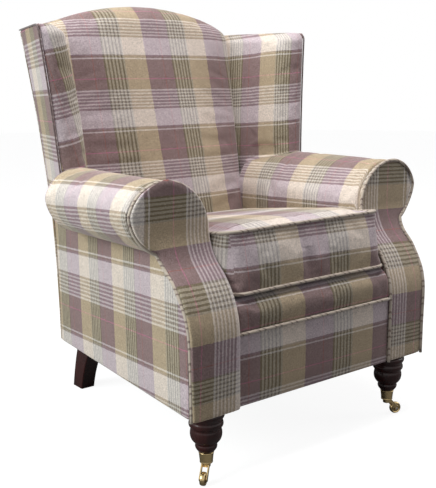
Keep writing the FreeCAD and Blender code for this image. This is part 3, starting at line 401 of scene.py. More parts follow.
woolCloth = plaidWool("plaidWool")
# a darker copy of the plaid for the front lip: painted shade where the lip sits under the
# cushion
shadedLipCloth = plaidWool("plaidWoolShaded", 0.9)
palePiping = cordWool("pipingPale", paint(0.47, 0.40, 0.33), paint(0.23, 0.175, 0.15))
darkPiping = cordWool("pipingDark", paint(0.12, 0.085, 0.085), paint(0.20, 0.155, 0.14))
beech = woodFinish("beech", paint(0.55, 0.36, 0.20), paint(0.38, 0.22, 0.11), (1, 1, 0.12), 0.5)
mahogany = woodFinish("mahogany", paint(0.040, 0.008, 0.007), paint(0.012, 0.004, 0.004),
                      (1, 1, 0.16), 0.2, 0.25)
brass = brassFinish("brass")
steel = steelFinish("steel")
jute = wovenFinish("jute", paint(0.42, 0.32, 0.19), paint(0.24, 0.17, 0.09), 0.0045)
lining = wovenFinish("liningCloth", paint(0.55, 0.5, 0.42), paint(0.42, 0.38, 0.31), 0.0012)
blackCloth = wovenFinish("blackCloth", paint(0.025, 0.025, 0.027), paint(0.008, 0.008, 0.009),
                         0.0015)
print("finishes made")


# Making pieces. Left is the sitter's left, where x is more than nothing.
sides = ((1, "left"), (-1, "right"))


def addObject(name, data):
    thing = bpy.data.objects.new(name, data)
    bpy.context.scene.collection.objects.link(thing)
    return thing


def settle(name, bm, material, node, body="chair", smooth=True):
    bmesh.ops.recalc_face_normals(bm, faces=bm.faces)
    mesh = bpy.data.meshes.new(name)
    bm.to_mesh(mesh)
    bm.free()
    piece = addObject(name, mesh)
    mesh.materials.append(material)
    for face in mesh.polygons:
        face.use_smooth = smooth
    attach(piece, body)
    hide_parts(node)
    return piece


def clothGrid(cols, rows, shape):
    # a grid laid on a form: shape(s, t) gives a place in metres and the cloth's own metres
    bm = bmesh.new()
    bmesh.ops.create_grid(bm, x_segments=cols, y_segments=rows, size=0.5)
    uv = bm.loops.layers.uv.new("cloth")
    spots = {vert: shape(vert.co.x + 0.5, vert.co.y + 0.5) for vert in bm.verts}
    for face in bm.faces:
        for loop in face.loops:
            loop[uv].uv = spots[loop.vert][1]
    for vert, (spot, _) in spots.items():
        vert.co = spot
    return bm


def closeUp(bm, gap=0.0002):
    bmesh.ops.remove_doubles(bm, verts=bm.verts, dist=gap)
    rims = [edge for edge in bm.edges if edge.is_boundary]
    if rims:
        bmesh.ops.holes_fill(bm, edges=rims, sides=0)
    flat = [face for face in bm.faces if len(face.verts) > 4]
    if flat:
        bmesh.ops.triangulate(bm, faces=flat)
    return bm


def thicken(bm, thickness):
    bmesh.ops.recalc_face_normals(bm, faces=bm.faces)
    bmesh.ops.solidify(bm, geom=bm.faces[:], thickness=thickness)
    return bm


def rounded(piece):
    finer = piece.modifiers.new("finer", "SUBSURF")
    finer.levels = 1
    finer.render_levels = 1
    return piece


coverCloth = {"quality": 6, "mass": 0.4, "stretch": 18, "shear": 6, "bend": 0.6}


def plump(piece, held, settings):
    # presses the cover out; held(x, y, z in mm, normal) is 1 where a seam holds it
    settings = {**coverCloth, **settings}
    scene = bpy.context.scene
    mesh = piece.data
    rest = [vert.co.copy() for vert in mesh.vertices]
    group = piece.vertex_groups.new(name="sewn")
    for vert in mesh.vertices:
        local = vert.co * 1000
        weight = held(local.x, local.y + chair["frontToCentre"], local.z, vert.normal)
        group.add([vert.index], weight, "REPLACE")
    cloth = piece.modifiers.new("cover", "CLOTH")
    cloth.settings.vertex_group_mass = "sewn"
    cloth.settings.quality = settings["quality"]
    cloth.settings.mass = settings["mass"]
    cloth.settings.tension_stiffness = settings["stretch"]
    cloth.settings.compression_stiffness = settings["stretch"]
    cloth.settings.shear_stiffness = settings["shear"]
    cloth.settings.bending_stiffness = settings["bend"]
    cloth.settings.shrink_min = -settings["slack"]
    cloth.settings.use_pressure = True
    cloth.settings.uniform_pressure_force = settings["pressure"]
    cloth.settings.effector_weights.gravity = 0
    cloth.collision_settings.use_collision = False
    cloth.point_cache.frame_start = 1
    cloth.point_cache.frame_end = settings["frames"]
    for step in range(1, settings["frames"] + 1):
        scene.frame_set(step)
    shown = piece.evaluated_get(bpy.context.evaluated_depsgraph_get()).to_mesh()
    moved = [vert.co.copy() for vert in shown.vertices]
    piece.modifiers.remove(cloth)
    for vert, before, after in zip(mesh.vertices, rest, moved):
        shift = after - before
        if shift.length > settings["cap"] / 1000:
            shift *= settings["cap"] / 1000 / shift.length
        vert.co = before + shift
    mesh.update()
    scene.frame_set(1)
    piece.vertex_groups.clear()
    return piece


def upholster(name, bm, node, held=None, cover=None, material=woolCloth, body="chair"):
    piece = settle(name, bm, material, node, body=body)
    if held:
        plump(piece, held, cover)
    return rounded(piece)


def tubeAlong(name, route, radius, material, node, closed=False, body="chair"):
    # piping: a sewn cord along a smooth line
    line = bpy.data.curves.new(name + "Line", "CURVE")
    line.dimensions = "3D"
    line.bevel_depth = radius / 1000
    line.bevel_resolution = 3
    line.resolution_u = 3
    line.use_fill_caps = True
    spline = line.splines.new("NURBS")
    spline.points.add(len(route) - 1)
    for point, spot in zip(spline.points, route):
        point.co = (*spot, 1.0)
    spline.order_u = 3
    spline.use_endpoint_u = not closed
    spline.use_cyclic_u = closed
    holder = addObject(name + "Line", line)
    bpy.context.view_layer.update()
    mesh = bpy.data.meshes.new_from_object(holder.evaluated_get(
        bpy.context.evaluated_depsgraph_get()))
    bpy.data.objects.remove(holder)
    bm = bmesh.new()
    bm.from_mesh(mesh)
    bpy.data.meshes.remove(mesh)
    bmesh.ops.remove_doubles(bm, verts=bm.verts, dist=0.00005)
    return settle(name, bm, material, node, body)


# Camera and light first.
view = {"place": (-1.3333, -1.7331, 0.8637), "azimuth": -0.66445, "elevation": 0.19424,
        "roll": -0.005444, "focalPixels": 848.2, "frameHeight": 488.0}
camera = addObject("camera", bpy.data.cameras.new("camera"))
camera.data.sensor_width = 36.0
camera.data.lens = view["focalPixels"] / view["frameHeight"] * 36.0
towards = Vector((math.sin(view["azimuth"]) * math.cos(view["elevation"]),
                  -math.cos(view["azimuth"]) * math.cos(view["elevation"]),
                  math.sin(view["elevation"])))
level = Vector((math.cos(view["azimuth"]), math.sin(view["azimuth"]), 0.0))
rolled = level * math.cos(view["roll"]) + towards.cross(level) * math.sin(view["roll"])
turned = Matrix((rolled, towards.cross(rolled), towards)).transposed().to_4x4()
camera.matrix_world = Matrix.Translation(view["place"]) @ turned
bpy.context.scene.camera = camera
bpy.context.scene.view_settings.view_transform = "Standard"

studio = {"floorTone": 0.2, "floorGlow": 0.9, "worldStrength": 0.215,
          "worldTint": paint(0.95, 0.96, 1.0), "floorRadius": 12.0}


def lamp(name, spot, aim, size, power, colour=(1.0, 1.0, 1.0)):
    light = bpy.data.lights.new(name, "AREA")
    light.shape = "DISK"
    light.size = size
    light.energy = power
    light.color = colour
    holder = addObject(name, light)
    holder.location = spot
    holder.rotation_mode = "QUATERNION"
    holder.rotation_quaternion = (Vector(spot) - Vector(aim)).to_track_quat("Z", "Y")


lamp("keyLamp", (-3.2, 0.35, 1.8), (0.0, 0.0, 0.55), 2.2, 130, (0.94, 1.0, 0.99))
lamp("topLamp", (-0.1, -0.38, 3.5), (0.0, 0.0, 0.6), 1.6, 104, (1.0, 0.985, 0.98))
lamp("fillLamp", (1.9, -1.15, 1.1), (0.0, 0.0, 0.7), 1.2, 12)

world = bpy.data.worlds.new("studio")
bpy.context.scene.world = world
world.use_nodes = True
sky = NodeTree(world.node_tree)
cameraRay, glossyRay, throughRay = (
    sky.node("ShaderNodeLightPath", output=ray)
    for ray in ("Is Camera Ray", "Is Glossy Ray", "Is Transmission Ray"))
seenRay = cameraRay.most(glossyRay).most(throughRay)
lit = sky.node("ShaderNodeBackground", {}, {0: studio["worldTint"], 1: studio["worldStrength"]})
backdrop = sky.node("ShaderNodeBackground", {}, {0: paint(1.0, 1.0, 1.0), 1: 1.0})
sky.node("ShaderNodeOutputWorld", {}, {
    0: sky.node("ShaderNodeMixShader", {}, {0: seenRay, 1: lit, 2: backdrop})})

floorMesh = bmesh.new()
bmesh.ops.create_circle(floorMesh, cap_ends=True, segments=96,
                        radius=studio["floorRadius"])
floorData = bpy.data.meshes.new("floor")
floorMesh.to_mesh(floorData)
floorMesh.free()
floor = addObject("floor", floorData)
floorTone = studio["floorTone"]
floorFinish = Finish("floorFinish", {"Roughness": 0.9, "Specular IOR Level": 0.1,
                                     "Base Color": paint(floorTone, floorTone, floorTone)})
floorGlow = floorFinish.node("ShaderNodeLightPath", output="Is Camera Ray")
floorFinish.use("Emission Color", floorFinish.mix(floorGlow, paint(0, 0, 0), paint(1, 1, 1)))
floorFinish.shader.inputs["Emission Strength"].default_value = studio["floorGlow"]
floorData.materials.append(floorFinish.material)
print("camera, light and floor made")


# Inside back: one padded and crowned form, rolled over the top rail.
insideBack = {
    "crown": [(0.0, 30.0), (0.25, 28.5), (0.5, 23.7), (0.7, 16.8), (0.86, 9.0), (0.95, 0.0),
              (1.0, -15.0)],
    "roll": 42.0, "rollDrop": 18.0, "rollDepth": 60.0, "toRear": 58.0, "skin": 6.4,
    "archHalf": 300.0, "gather": 1.5, "heldSides": (0.8, 0.95), "heldLow": (405, 440),
    "lay": ((35.0, 0.9906, 0.0001), (438.3, 0.0007, 0.9877)),
    "cover": {"pressure": 2.6, "frames": 14, "cap": 7.0, "slack": 0.01},
}


def backSection(share):
    # closed line of (y, z) round the padded back at a share of its half width
    low = chair["insideBackLow"]
    crown = steps(insideBack["crown"], abs(share))
    top = archZ(share * insideBack["archHalf"])
    roll = insideBack["roll"]
    knee = top - roll

    def front(z):
        return backFront(z) - crown

    line = [(front(low), low), (front(knee), knee)]
    over = (front(top) - chair["backLean"] * roll * 0.3 + roll * 0.25, top - roll * 0.27)
    line += arcThrough(line[-1], over, (front(top) + roll, top), 10)[1:]
    rearTop = top - insideBack["rollDrop"]
    rearLow = top - insideBack["rollDepth"]
    line += [(backY(rearTop, insideBack["skin"]), rearTop)]
    line += [(backY(rearLow, insideBack["skin"]), rearLow)]
    line += [(backY(rearLow, insideBack["toRear"]), rearLow)]
    line += [(backY(z, insideBack["toRear"]), z)
             for z in (rearLow - 120, rearLow - 240, rearLow - 400, low)]
    return line + line[:1]


def insideBackShape(s, t):
    # the columns gather towards the sides
    share = math.sin((s * 2 - 1) * insideBack["gather"]) / math.sin(insideBack["gather"])
    spot, run = along(backSection(share), t)
    x = share * backHalf(spot.y)
    return place(x, spot.x, spot.y), clothSpot(insideBack["lay"], x, -run)


def backHeld(x, y, z, normal):
    side = fade(*insideBack["heldSides"], abs(x) / backHalf(z))
    rear = 1.0 if normal.y > -0.2 else 0.0
    return max(side, rear, 1 - fade(*insideBack["heldLow"], z))


backForm = closeUp(clothGrid(72, 150, insideBackShape))
upholster("insideBack", backForm, "inside_back", backHeld, insideBack["cover"])
print("inside back made")


# The wings' main lines, which the arms' tails follow too.
wing = {
    "low": 505.5, "top": 988.0, "frontLow": (383.0, 476.0), "frontHigh": (419.0, 509.0),
    "flarePower": 1.5, "thick": (72.0, 62.0), "rearHeadX": 328.0,
    "turnIn": 0.9, "topMiddle": (-14.0, -4.0), "rollBehindY": 600.0, "floorMost": 655.0,
    "crease": 42.0,
    "lay": {1: ((-1.1, 1.3143, -0.0141), (58.5, -0.0736, 0.9747)),
            -1: ((-146.6, 1.2637, -0.2141), (-23.8, 0.1797, 0.9033))},
    "cover": {"pressure": 2.4, "frames": 12, "cap": 5.0, "slack": 0.01},
}


# Arms: padded inner side with the scroll, swept facing, outside panel.
arm = {
    "padLow": 319.0, "padBackX": 266.0, "rollUnderZ": 505.0, "facingThick": 12.0,
    "main": 0.86, "rollEnd": 484.0, "tailEnd": 600.0, "tailIn": 25.5,
    "lay": {1: ((14.8, 1.0866, 0.0023), (-53.1, -0.0411, 0.9863)),
            -1: ((-70.7, 1.4723, -0.0142), (-76.2, 0.0641, 0.9025))},
    "cover": {"pressure": 2.2, "frames": 12, "cap": 4.0, "slack": 0.01},
}
armOutline = [(chair["armInnerX"], arm["padLow"]), (chair["armInnerX"], 420.0)]
armOutline += rollInner + scrollOver[1:] + scrollUnder[1:]
armOutline += [(380.0, arm["rollUnderZ"]), (300.0, arm["rollUnderZ"]),
               (arm["padBackX"], arm["rollUnderZ"] - 5), (arm["padBackX"], arm["padLow"])]
armOutline += armOutline[:1]


def tailX(y):
    # the tail of the arm pad stays inside the wing's outer line
    lowX, lowY = wing["frontLow"]
    slope = (lowX - chair["rearOuterX"] - 3) / (backY(wing["low"], 5.0) - lowY)
    return lowX - arm["tailIn"] - slope * (y - lowY)


def insideArmShape(side):
    def shape(s, t):
        (x, z), run = along(armOutline, t)
        near = frontDepth(z) + arm["facingThick"] + 0.5
        main = arm["main"]
        if s <= main:
            y = lerp(near, arm["rollEnd"], s / main)
        else:
            y = lerp(arm["rollEnd"], arm["tailEnd"], (s - main) / (1 - main))
            x = min(x, tailX(y))
        return place(x * side, y, z), clothSpot(arm["lay"][side], y, -run)
    return shape


def armHeld(x, y, z, normal):
    front = 1 - fade(2, 26, y - frontDepth(z) - arm["facingThick"])
    rear = fade(arm["rollEnd"] - 22, arm["rollEnd"] - 4, y)
    under = 1.0 if z < 520 and abs(x) > 243 else 0.0
    return max(front, rear, under, 1 - fade(325, 345, z))


facing = {
    "lay": {1: ((-49.8, 1.0721, 0.0454), (-133.9, -0.0034, 0.8281)),
            -1: ((-44.2, 1.1434, 0.0018), (-94.8, 0.029, 0.8942))},
    "puff": 2.2, "soft": 26.0,
}


def facingShape(side):
    def shape(s, t):
        rise = math.sin(t * math.pi / 2) ** 0.9 if t < 1 else 1.0
        z = lerp(chair["underside"], chair["armTop"], t * 0.45 + rise * 0.55)
        inner, outer = facingEdges(z)
        x = lerp(inner, outer, s)
        edge = min(s, 1 - s) * (outer - inner)
        y = frontDepth(z) - facing["puff"] * fade(0, facing["soft"], edge) + 0.4
        return place(x * side, y, z), clothSpot(facing["lay"][side], -z, -x)
    return shape


outsideArm = {
    "top": 503.5, "puff": 1.5, "lay": ((36.7, 1.1218, -0.0333), (79.1, 0.0589, 0.8738)),
}


def outsideArmShape(side):
    def shape(s, t):
        z = lerp(chair["underside"], outsideArm["top"], t)
        near = frontDepth(z) + arm["facingThick"] + 0.4
        y = lerp(near, backY(z, 5.6), s)
        edge = min(s * 600, (1 - s) * 600, t * 340, (1 - t) * 340)
        x = outsideX(y) - 1.2 + outsideArm["puff"] * fade(0, 60, edge)
        return place(x * side, y, z), clothSpot(outsideArm["lay"], y, z)
    return shape


for side, hand in sides:
    pad = closeUp(clothGrid(56, 120, insideArmShape(side)))
    upholster(f"insideArm.{hand}", pad, f"inside_arm_{hand}", armHeld, arm["cover"])
    face = thicken(clothGrid(18, 90, facingShape(side)), 0.010)
    bmesh.ops.remove_doubles(face, verts=face.verts, dist=0.0003)
    upholster(f"armFacing.{hand}", face, f"arm_facing_{hand}")
    panel = thicken(clothGrid(48, 30, outsideArmShape(side)), 0.004)
    upholster(f"outsideArm.{hand}", panel, f"outside_arm_{hand}")
print("arms made")


# Wings: padded inner side wrapped round the front edge, and a flat outside panel.
def wingEnds(z):
    # in plan: the front and rear corners of its outer side, the way back and the way inward
    share = (z - wing["low"]) / (wing["top"] - wing["low"])
    flare = max(share, 0.0) ** wing["flarePower"]
    (lowX, lowY), (highX, highY) = wing["frontLow"], wing["frontHigh"]
    front = Vector((lerp(lowX, highX, flare), lerp(lowY, highY, share)))
    rear = Vector((lerp(chair["rearOuterX"] + 3, wing["rearHeadX"], share), backY(z, 6.3)))
    back = (rear - front).normalized()
    return front, rear, back, Vector((-back.y, back.x))


def wingLine(z, ease):
    # plan line of (x, y) round the wing at a height, from the outer front corner inwards
    front, rear, back, inward = wingEnds(z)
    share = (z - wing["low"]) / (wing["top"] - wing["low"])
    thick = lerp(*wing["thick"], share) - ease
    nose = front + back * ease * 0.4
    bend = nose + inward * thick * 0.62 - back
    inner = nose + inward * thick + back * thick * 0.5
    reach = (backFront(z) + wing["crease"] - front.y) / back.y
    deep = front + inward * thick + back * reach
    line = arcThrough(nose, bend, inner, 16) + [deep, rear + inward * thick * 0.2]
    line += [rear + inward * 6, front + inward * 6 + back * 8]
    return line + line[:1]


def wingFloor(x):
    # the wing's lower edge lies on the arm's roll
    x = min(max(x, scroll["rollStart"][0] + 1), scroll["outer"][0] - 1)
    if x < crestX:
        return rollZ + math.sqrt(max(0.0, chair["armRoll"] ** 2 - (crestX - x) ** 2))
    return steps(scrollOver, x)


def wingShape(side):
    def shape(s, t):
        # s goes round the plan, t rises; the last rows turn over the top
        riseShare = min(t / wing["turnIn"], 1.0)
        z = lerp(wing["low"], wing["top"], riseShare)
        ease = 24 * fade(0.94, 1.0, riseShare) ** 2
        spot, run = along(wingLine(z, ease), s)
        lowest = wingFloor(spot.x) + 1.0 if spot.y < wing["rollBehindY"] else wing["low"]
        front, rear = wingEnds(z)[:2]
        if t > wing["turnIn"]:
            middle = (front + rear) / 2 + Vector(wing["topMiddle"])
            spot = spot.lerp(middle, (t - wing["turnIn"]) / (1 - wing["turnIn"]) * 0.98)
        z = max(z, min(lowest, wing["floorMost"]))
        return place(spot.x * side, spot.y, z), clothSpot(wing["lay"][side], run, -z)
    return shape


outsideWing = {"lay": ((0.0, 1.0, 0.0), (-151.4, -0.024, 0.847))}


def outsideWingShape(side):
    def shape(s, t):
        z = lerp(wing["low"] - 1.5, wing["top"], t)
        front, rear, _, inward = wingEnds(z)
        spot = front.lerp(rear, 0.004 + s * 0.996)
        spot -= inward * (1.5 * fade(0, 0.15, min(s, 1 - s)) - 0.6)
        return place(spot.x * side, spot.y, z), clothSpot(
            outsideWing["lay"], (front - spot).length, -z)
    return shape


def wingHeld(x, y, z, normal):
    front, _, back, inward = wingEnds(min(max(z, wing["low"]), wing["top"]))
    spot = Vector((abs(x), y)) - front
    outer = 1 - fade(6, 22, spot.dot(inward))
    rearward = fade(110, 150, spot.dot(back))
    return max(outer, rearward, fade(970, 986, z), 1 - fade(650, 680, z))


for side, hand in sides:
    pad = closeUp(clothGrid(96, 84, wingShape(side)), 0.0004)
    upholster(f"wing.{hand}", pad, f"wing_{hand}", wingHeld, wing["cover"])
    panel = thicken(clothGrid(24, 40, outsideWingShape(side)), 0.004)
    upholster(f"outsideWing.{hand}", panel, f"outside_wing_{hand}")
print("wings made")


# Outside back: a tight flat cover on the curved frame.
outsideBack = {
    "top": 1042.0, "headZ": 985.0, "halves": [(165.0, 304.5), (504.0, 307.5), (985.0, 327.5)],
    "lay": ((38.0, 1.0, 0.0), (830.0, 0.0, 1.0)),
}


def outsideBackShape(s, t):
    share = s * 2 - 1
    head = outsideBack["headZ"]
    half = steps(outsideBack["halves"], lerp(chair["underside"], head, t))
    topHalf = steps(outsideBack["halves"], head)
    top = lerp(head, outsideBack["top"], 1 - (share * half / topHalf) ** 2)
    z = lerp(chair["underside"], top, t)
    x = share * half
    return place(x, backY(z, 0.6), z), clothSpot(outsideBack["lay"], x, -z)


backPanel = thicken(clothGrid(56, 76, outsideBackShape), 0.0042)
upholster("outsideBack", backPanel, "outside_back")
print("outside back made")


# Seat front: a flat border with a rolled lip over it.
seatFront = {
    "half": 240.4, "borderTop": 329.0, "borderY": 6.0,
    "lay": ((41.9, 0.9392, 0.0041), (-7.5, -0.0121, 0.9919)),
}
seatLip = {
    "lay": ((43.1, 0.9466, 0.0015), (39.0, 0.0, 1.0)),
    "cover": {"pressure": 2.0, "frames": 10, "cap": 3.0, "slack": 0.004, "bend": 2.0},
}


def borderShape(s, t):
    x = (s * 2 - 1) * seatFront["half"]
    z = lerp(chair["underside"], seatFront["borderTop"], t)
    edge = min(s * 480, (1 - s) * 480, t * 164, (1 - t) * 164)
    y = seatFront["borderY"] + 0.6 - 2.6 * fade(0, 40, edge)
    return place(x, y, z), clothSpot(seatFront["lay"], x, -z)


lipLine = [(66.0, 330.0), (6.3, 330.0), (6.0, 333.0), (5.0, 350.0), (6.0, 365.0)]
lipLine += arcThrough((6.0, 365.0), (16.5, 390.5), (42.0, 401.0), 10)[1:] + [(66.0, 401.0)]
lipLine += lipLine[:1]


def lipShape(s, t):
    x = (s * 2 - 1) * seatFront["half"]
    spot, run = along(lipLine, t)
    return place(x, spot.x, spot.y), clothSpot(seatLip["lay"], x, -run)


def lipHeld(x, y, z, normal):
    return max(1 - fade(332, 345, z), fade(215, 236, abs(x)),
               fade(45, 60, y))


border = thicken(clothGrid(56, 22, borderShape), 0.009)
upholster("frontBorder", border, "front_border")
lip = closeUp(clothGrid(56, 44, lipShape))
upholster("frontLip", lip, "front_lip", lipHeld, seatLip["cover"], shadedLipCloth)
print("seat front made")


# Sprung seat deck under the cushion: a thin pad covered in lining cloth.
deck = {"rimDrop": 4.0, "rimPower": 8, "cuts": 24}
deckLow, deckHigh = (Vector(corner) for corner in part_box("seat_deck"))
deckForm = bmesh.new()
bmesh.ops.create_cube(deckForm, size=2.0)
bmesh.ops.subdivide_edges(deckForm, edges=deckForm.edges, cuts=deck["cuts"], use_grid_fill=True)
for vert in deckForm.verts:
    rim = max(abs(vert.co.x), abs(vert.co.y)) ** deck["rimPower"]
    drop = deck["rimDrop"] / 1000 * rim if vert.co.z > 0.99 else 0.0
    share = [(value + 1) / 2 for value in vert.co]
    vert.co = [lerp(*ends) for ends in zip(deckLow, deckHigh, share)]
    vert.co.z -= drop
deckPiece = settle("seatDeck", deckForm, lining, "seat_deck")
rounded(deckPiece)
print("seat deck made")


# Dust cover: thin black cloth tacked under the rails, hanging a little slack.
dustCover = {"thickness": 0.0012, "sag": 0.003, "below": 0.0014}
coverLow, coverHigh = (Vector(corner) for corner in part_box("dust_cover"))
coverCorners = [vert.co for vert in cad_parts["dust_cover"].data.vertices]
coverFront = max(co.x for co in coverCorners if co.y < 0)
coverRear = max(co.x for co in coverCorners if co.y > 0)
coverLength = coverHigh.y - coverLow.y


def dustShape(s, t):
    slack = max(0.0, math.sin(math.pi * s) * math.sin(math.pi * t)) ** 0.5
    spot = Vector((lerp(coverFront, coverRear, t) * (s * 2 - 1),
                   coverLow.y + coverLength * t,
                   coverHigh.z - dustCover["below"] - dustCover["sag"] * slack))
    return spot, (spot.x, spot.y)


coverPiece = settle("dustCover", thicken(clothGrid(30, 30, dustShape), dustCover["thickness"]),
                    blackCloth, "dust_cover")
print("dust cover made")


# Loose seat cushion: crowned box with piped edges.
cushion = {
    "edgeLow": 412.0, "edgeHigh": 541.0, "frontLow": 18.0, "frontHigh": 42.0,
    "crown": 12.0, "under": 10.0, "fall": 62.0, "corner": 28.0, "half": 236.0, "backGap": 34.0,
    "draw": 5.0, "bulge": 1.5, "cuts": 40,
    "lay": ((28.5, 0.9652, -0.0116), (16.4, -0.0149, 1.0616)),
    "topLay": ((34.8, 0.9652, 0.0), (640.0, 0.0, 1.0)),
    "cover": {"pressure": 3.2, "frames": 16, "cap": 7.0, "slack": 0.012, "bend": 2.5},
}


def cushionFront(z):
    rise = (z - cushion["edgeLow"]) / (cushion["edgeHigh"] - cushion["edgeLow"])
    return lerp(cushion["frontLow"], cushion["frontHigh"], rise)


def cushionBack(z):
    return backFront(z) - cushion["backGap"]


def cushionTop(y):
    # the top seam comes down towards the back, as the seat is pitched
    front, back = cushionFront(cushion["edgeHigh"]), cushionBack(cushion["edgeHigh"])
    share = min(1.0, max(0.0, (y - front) / (back - front)))
    return cushion["edgeHigh"] - cushion["fall"] * share


# How near to 1 a place on the unit cube has to be to lie on that side of it.
onSide = 0.999


def cushionSpot(point):
    # point is on a cube from -1 to 1; gives the place
    px, py, pz = point
    z = lerp(cushion["edgeLow"], cushion["edgeHigh"], (pz + 1) / 2)
    front, back = cushionFront(z), cushionBack(z)
    middle, depth = (front + back) / 2, (back - front) / 2
    half = cushion["half"]
    radius = cushion["corner"]
    # a square level becomes one with round corners and drawn-in sides
    x, y = px * half, py * depth
    overX, overY = abs(x) - (half - radius), abs(y) - (depth - radius)
    if overX > 0 and overY > 0:
        reach = max(overX, overY)
        length = math.hypot(overX, overY)
        overX, overY = overX / length * reach, overY / length * reach
        x = math.copysign(half - radius + overX, x)
        y = math.copysign(depth - radius + overY, y)
    rim = max(abs(px), abs(py))
    bulge = (1 - pz * pz) * cushion["bulge"] if rim > onSide else 0.0
    draw = cushion["draw"] * rim * rim
    x -= math.copysign(draw * (1 - py * py) - bulge, x) * min(1.0, abs(px) ** 8)
    y -= math.copysign(draw * (1 - px * px) - bulge, y) * min(1.0, abs(py) ** 8)
    level = z - cushion["fall"] * (pz + 1) * (py + 1) / 4
    if pz > onSide:
        level += cushion["crown"] * ((1 - px ** 4) * (1 - py ** 4)) ** 0.6
    if pz < -onSide:
        level -= cushion["under"] * ((1 - px ** 6) * (1 - py ** 6)) ** 0.4
    return Vector((x, y + middle, level))


cushionForm = bmesh.new()
bmesh.ops.create_cube(cushionForm, size=2.0)
bmesh.ops.subdivide_edges(cushionForm, edges=cushionForm.edges, cuts=cushion["cuts"],
                          use_grid_fill=True)
clothMap = cushionForm.loops.layers.uv.new("cloth")
frontSeamY = cushionFront(cushion["edgeHigh"])
for face in cushionForm.faces:
    centre = face.calc_center_median()
    for loop in face.loops:
        spot = cushionSpot(loop.vert.co)
        across = spot.y if abs(centre.x) > onSide else spot.x
        down = -spot.z
        lay = cushion["lay"]
        if abs(centre.z) > onSide:
            # the top and the underside carry on from the front's cloth
            away = spot.y - frontSeamY
            down = -cushion["edgeHigh"] - away if centre.z > 0 else away - cushion["edgeLow"]
            lay = cushion["topLay"]
        loop[clothMap].uv = clothSpot(lay, across, down)
for vert in cushionForm.verts:
    vert.co = place(*cushionSpot(vert.co))


def cushionHeld(x, y, z, normal):
    front, back = cushionFront(z), cushionBack(z)
    rim = min(cushion["half"] - abs(x), y - front, back - y)
    if rim > 14:
        return 1.0 if z < cushion["edgeLow"] + 1 else 0.0
    seam = min(abs(z - cushionTop(y)), abs(z - cushion["edgeLow"]))
    return 1 - fade(2, 12, seam)


upholster("seatCushion", cushionForm, "seat_cushion", cushionHeld, cushion["cover"],
                    body="cushion")
print("seat cushion made")


# Piping round the cushion, the facings, the wings and the border.
piping = {
    "radius": 3.8, "wingRadius": 2.1, "out": 0.6, "forward": 1.8, "inset": 2.2,
    "cushionOut": 2.0, "cushionLift": 1.6, "wingOut": 2.2, "wingAhead": 1.4, "wingTopOut": 1.6,
    "wingHeights": (626, 652, 690, 740, 790, 840, 890, 930, 960, 974),
    "wingTop": ((0.012, 7.0), (0.05, 2.0), (0.2, 1.0), (0.45, 1.0), (0.7, 1.0), (0.97, 1.0)),
}


def cushionSeam(way):
    # way is 1 for the top seam and -1 for the bottom one
    z = cushion["edgeHigh"] if way > 0 else cushion["edgeLow"]
    middleY = (cushionFront(z) + cushionBack(z)) / 2
    route = []
    for i in range(120):
        turn = math.tau * i / 120
        direction = Vector((math.cos(turn), math.sin(turn)))
        direction /= max(abs(direction.x), abs(direction.y))
        spot = cushionSpot((direction.x, direction.y, way * 0.99))
        outward = (spot - Vector((0.0, middleY, spot.z))).normalized() * piping["cushionOut"]
        route.append(place(spot.x + outward.x, spot.y + outward.y,
                           spot.z + way * piping["cushionLift"]))
    return route


for edge, way in (("top", 1), ("bottom", -1)):
    tubeAlong(f"cushionPiping.{edge}", cushionSeam(way), piping["radius"], palePiping,
              f"cushion_piping_{edge}", closed=True, body="cushion")

# Up the inner edge, over the roll, round the scroll and down the outer edge.
riseCount = 21
rollCount = len(rollInner) - 1
facingLine = [(chair["armInnerX"], chair["underside"] + 18 * i) for i in range(riseCount)]
facingLine += rollInner[1:] + scrollOver[1:] + scrollUnder[1:] + waistLine[1:]
facingLine += [(370.0 - 0.6 * i, 425.0 - 26 * i) for i in range(1, 8)]
facingLine += [(chair["armOuterX"], 200.0), (chair["armOuterX"], chair["underside"])]


def facingRoute(side):
    route = []
    for i, (x, z) in enumerate(facingLine):
        before, after = facingLine[max(i - 1, 0)], facingLine[min(i + 1, len(facingLine) - 1)]
        way = (Vector(after) - Vector(before)).normalized()
        share = min(max(0, i - riseCount + 1) / rollCount, 1.0)
        out = lerp(-piping["inset"], piping["out"], share)
        slope = (frontDepth(z + 1) - frontDepth(z - 1)) / 2
        y = frontDepth(z) - piping["forward"] * math.hypot(1, slope) * 0.75
        route.append(place((x - way.y * out) * side, y, z + way.x * out))
    return route


def wingRoute(side):
    route = []
    for z in piping["wingHeights"]:
        front, _, back, inward = wingEnds(z)
        spot = front - inward * piping["wingOut"] - back * piping["wingAhead"]
        route.append(place(spot.x * side, spot.y, z))
    front, rear, _, inward = wingEnds(wing["top"])
    for share, drop in piping["wingTop"]:
        spot = front.lerp(rear, share) - inward * piping["wingTopOut"]
        route.append(place(spot.x * side, spot.y, wing["top"] - drop))
    return route


for side, hand in sides:
    tubeAlong(f"facingPiping.{hand}", facingRoute(side), piping["radius"], palePiping,
              f"facing_piping_{hand}")
    tubeAlong(f"wingPiping.{hand}", wingRoute(side), piping["wingRadius"], darkPiping,
              f"wing_piping_{hand}")
borderRoute = [place(-238 + 34 * i, 3.4, 329.2) for i in range(15)]
tubeAlong("borderPiping", borderRoute, piping["radius"], palePiping, "border_piping")
print("piping made")


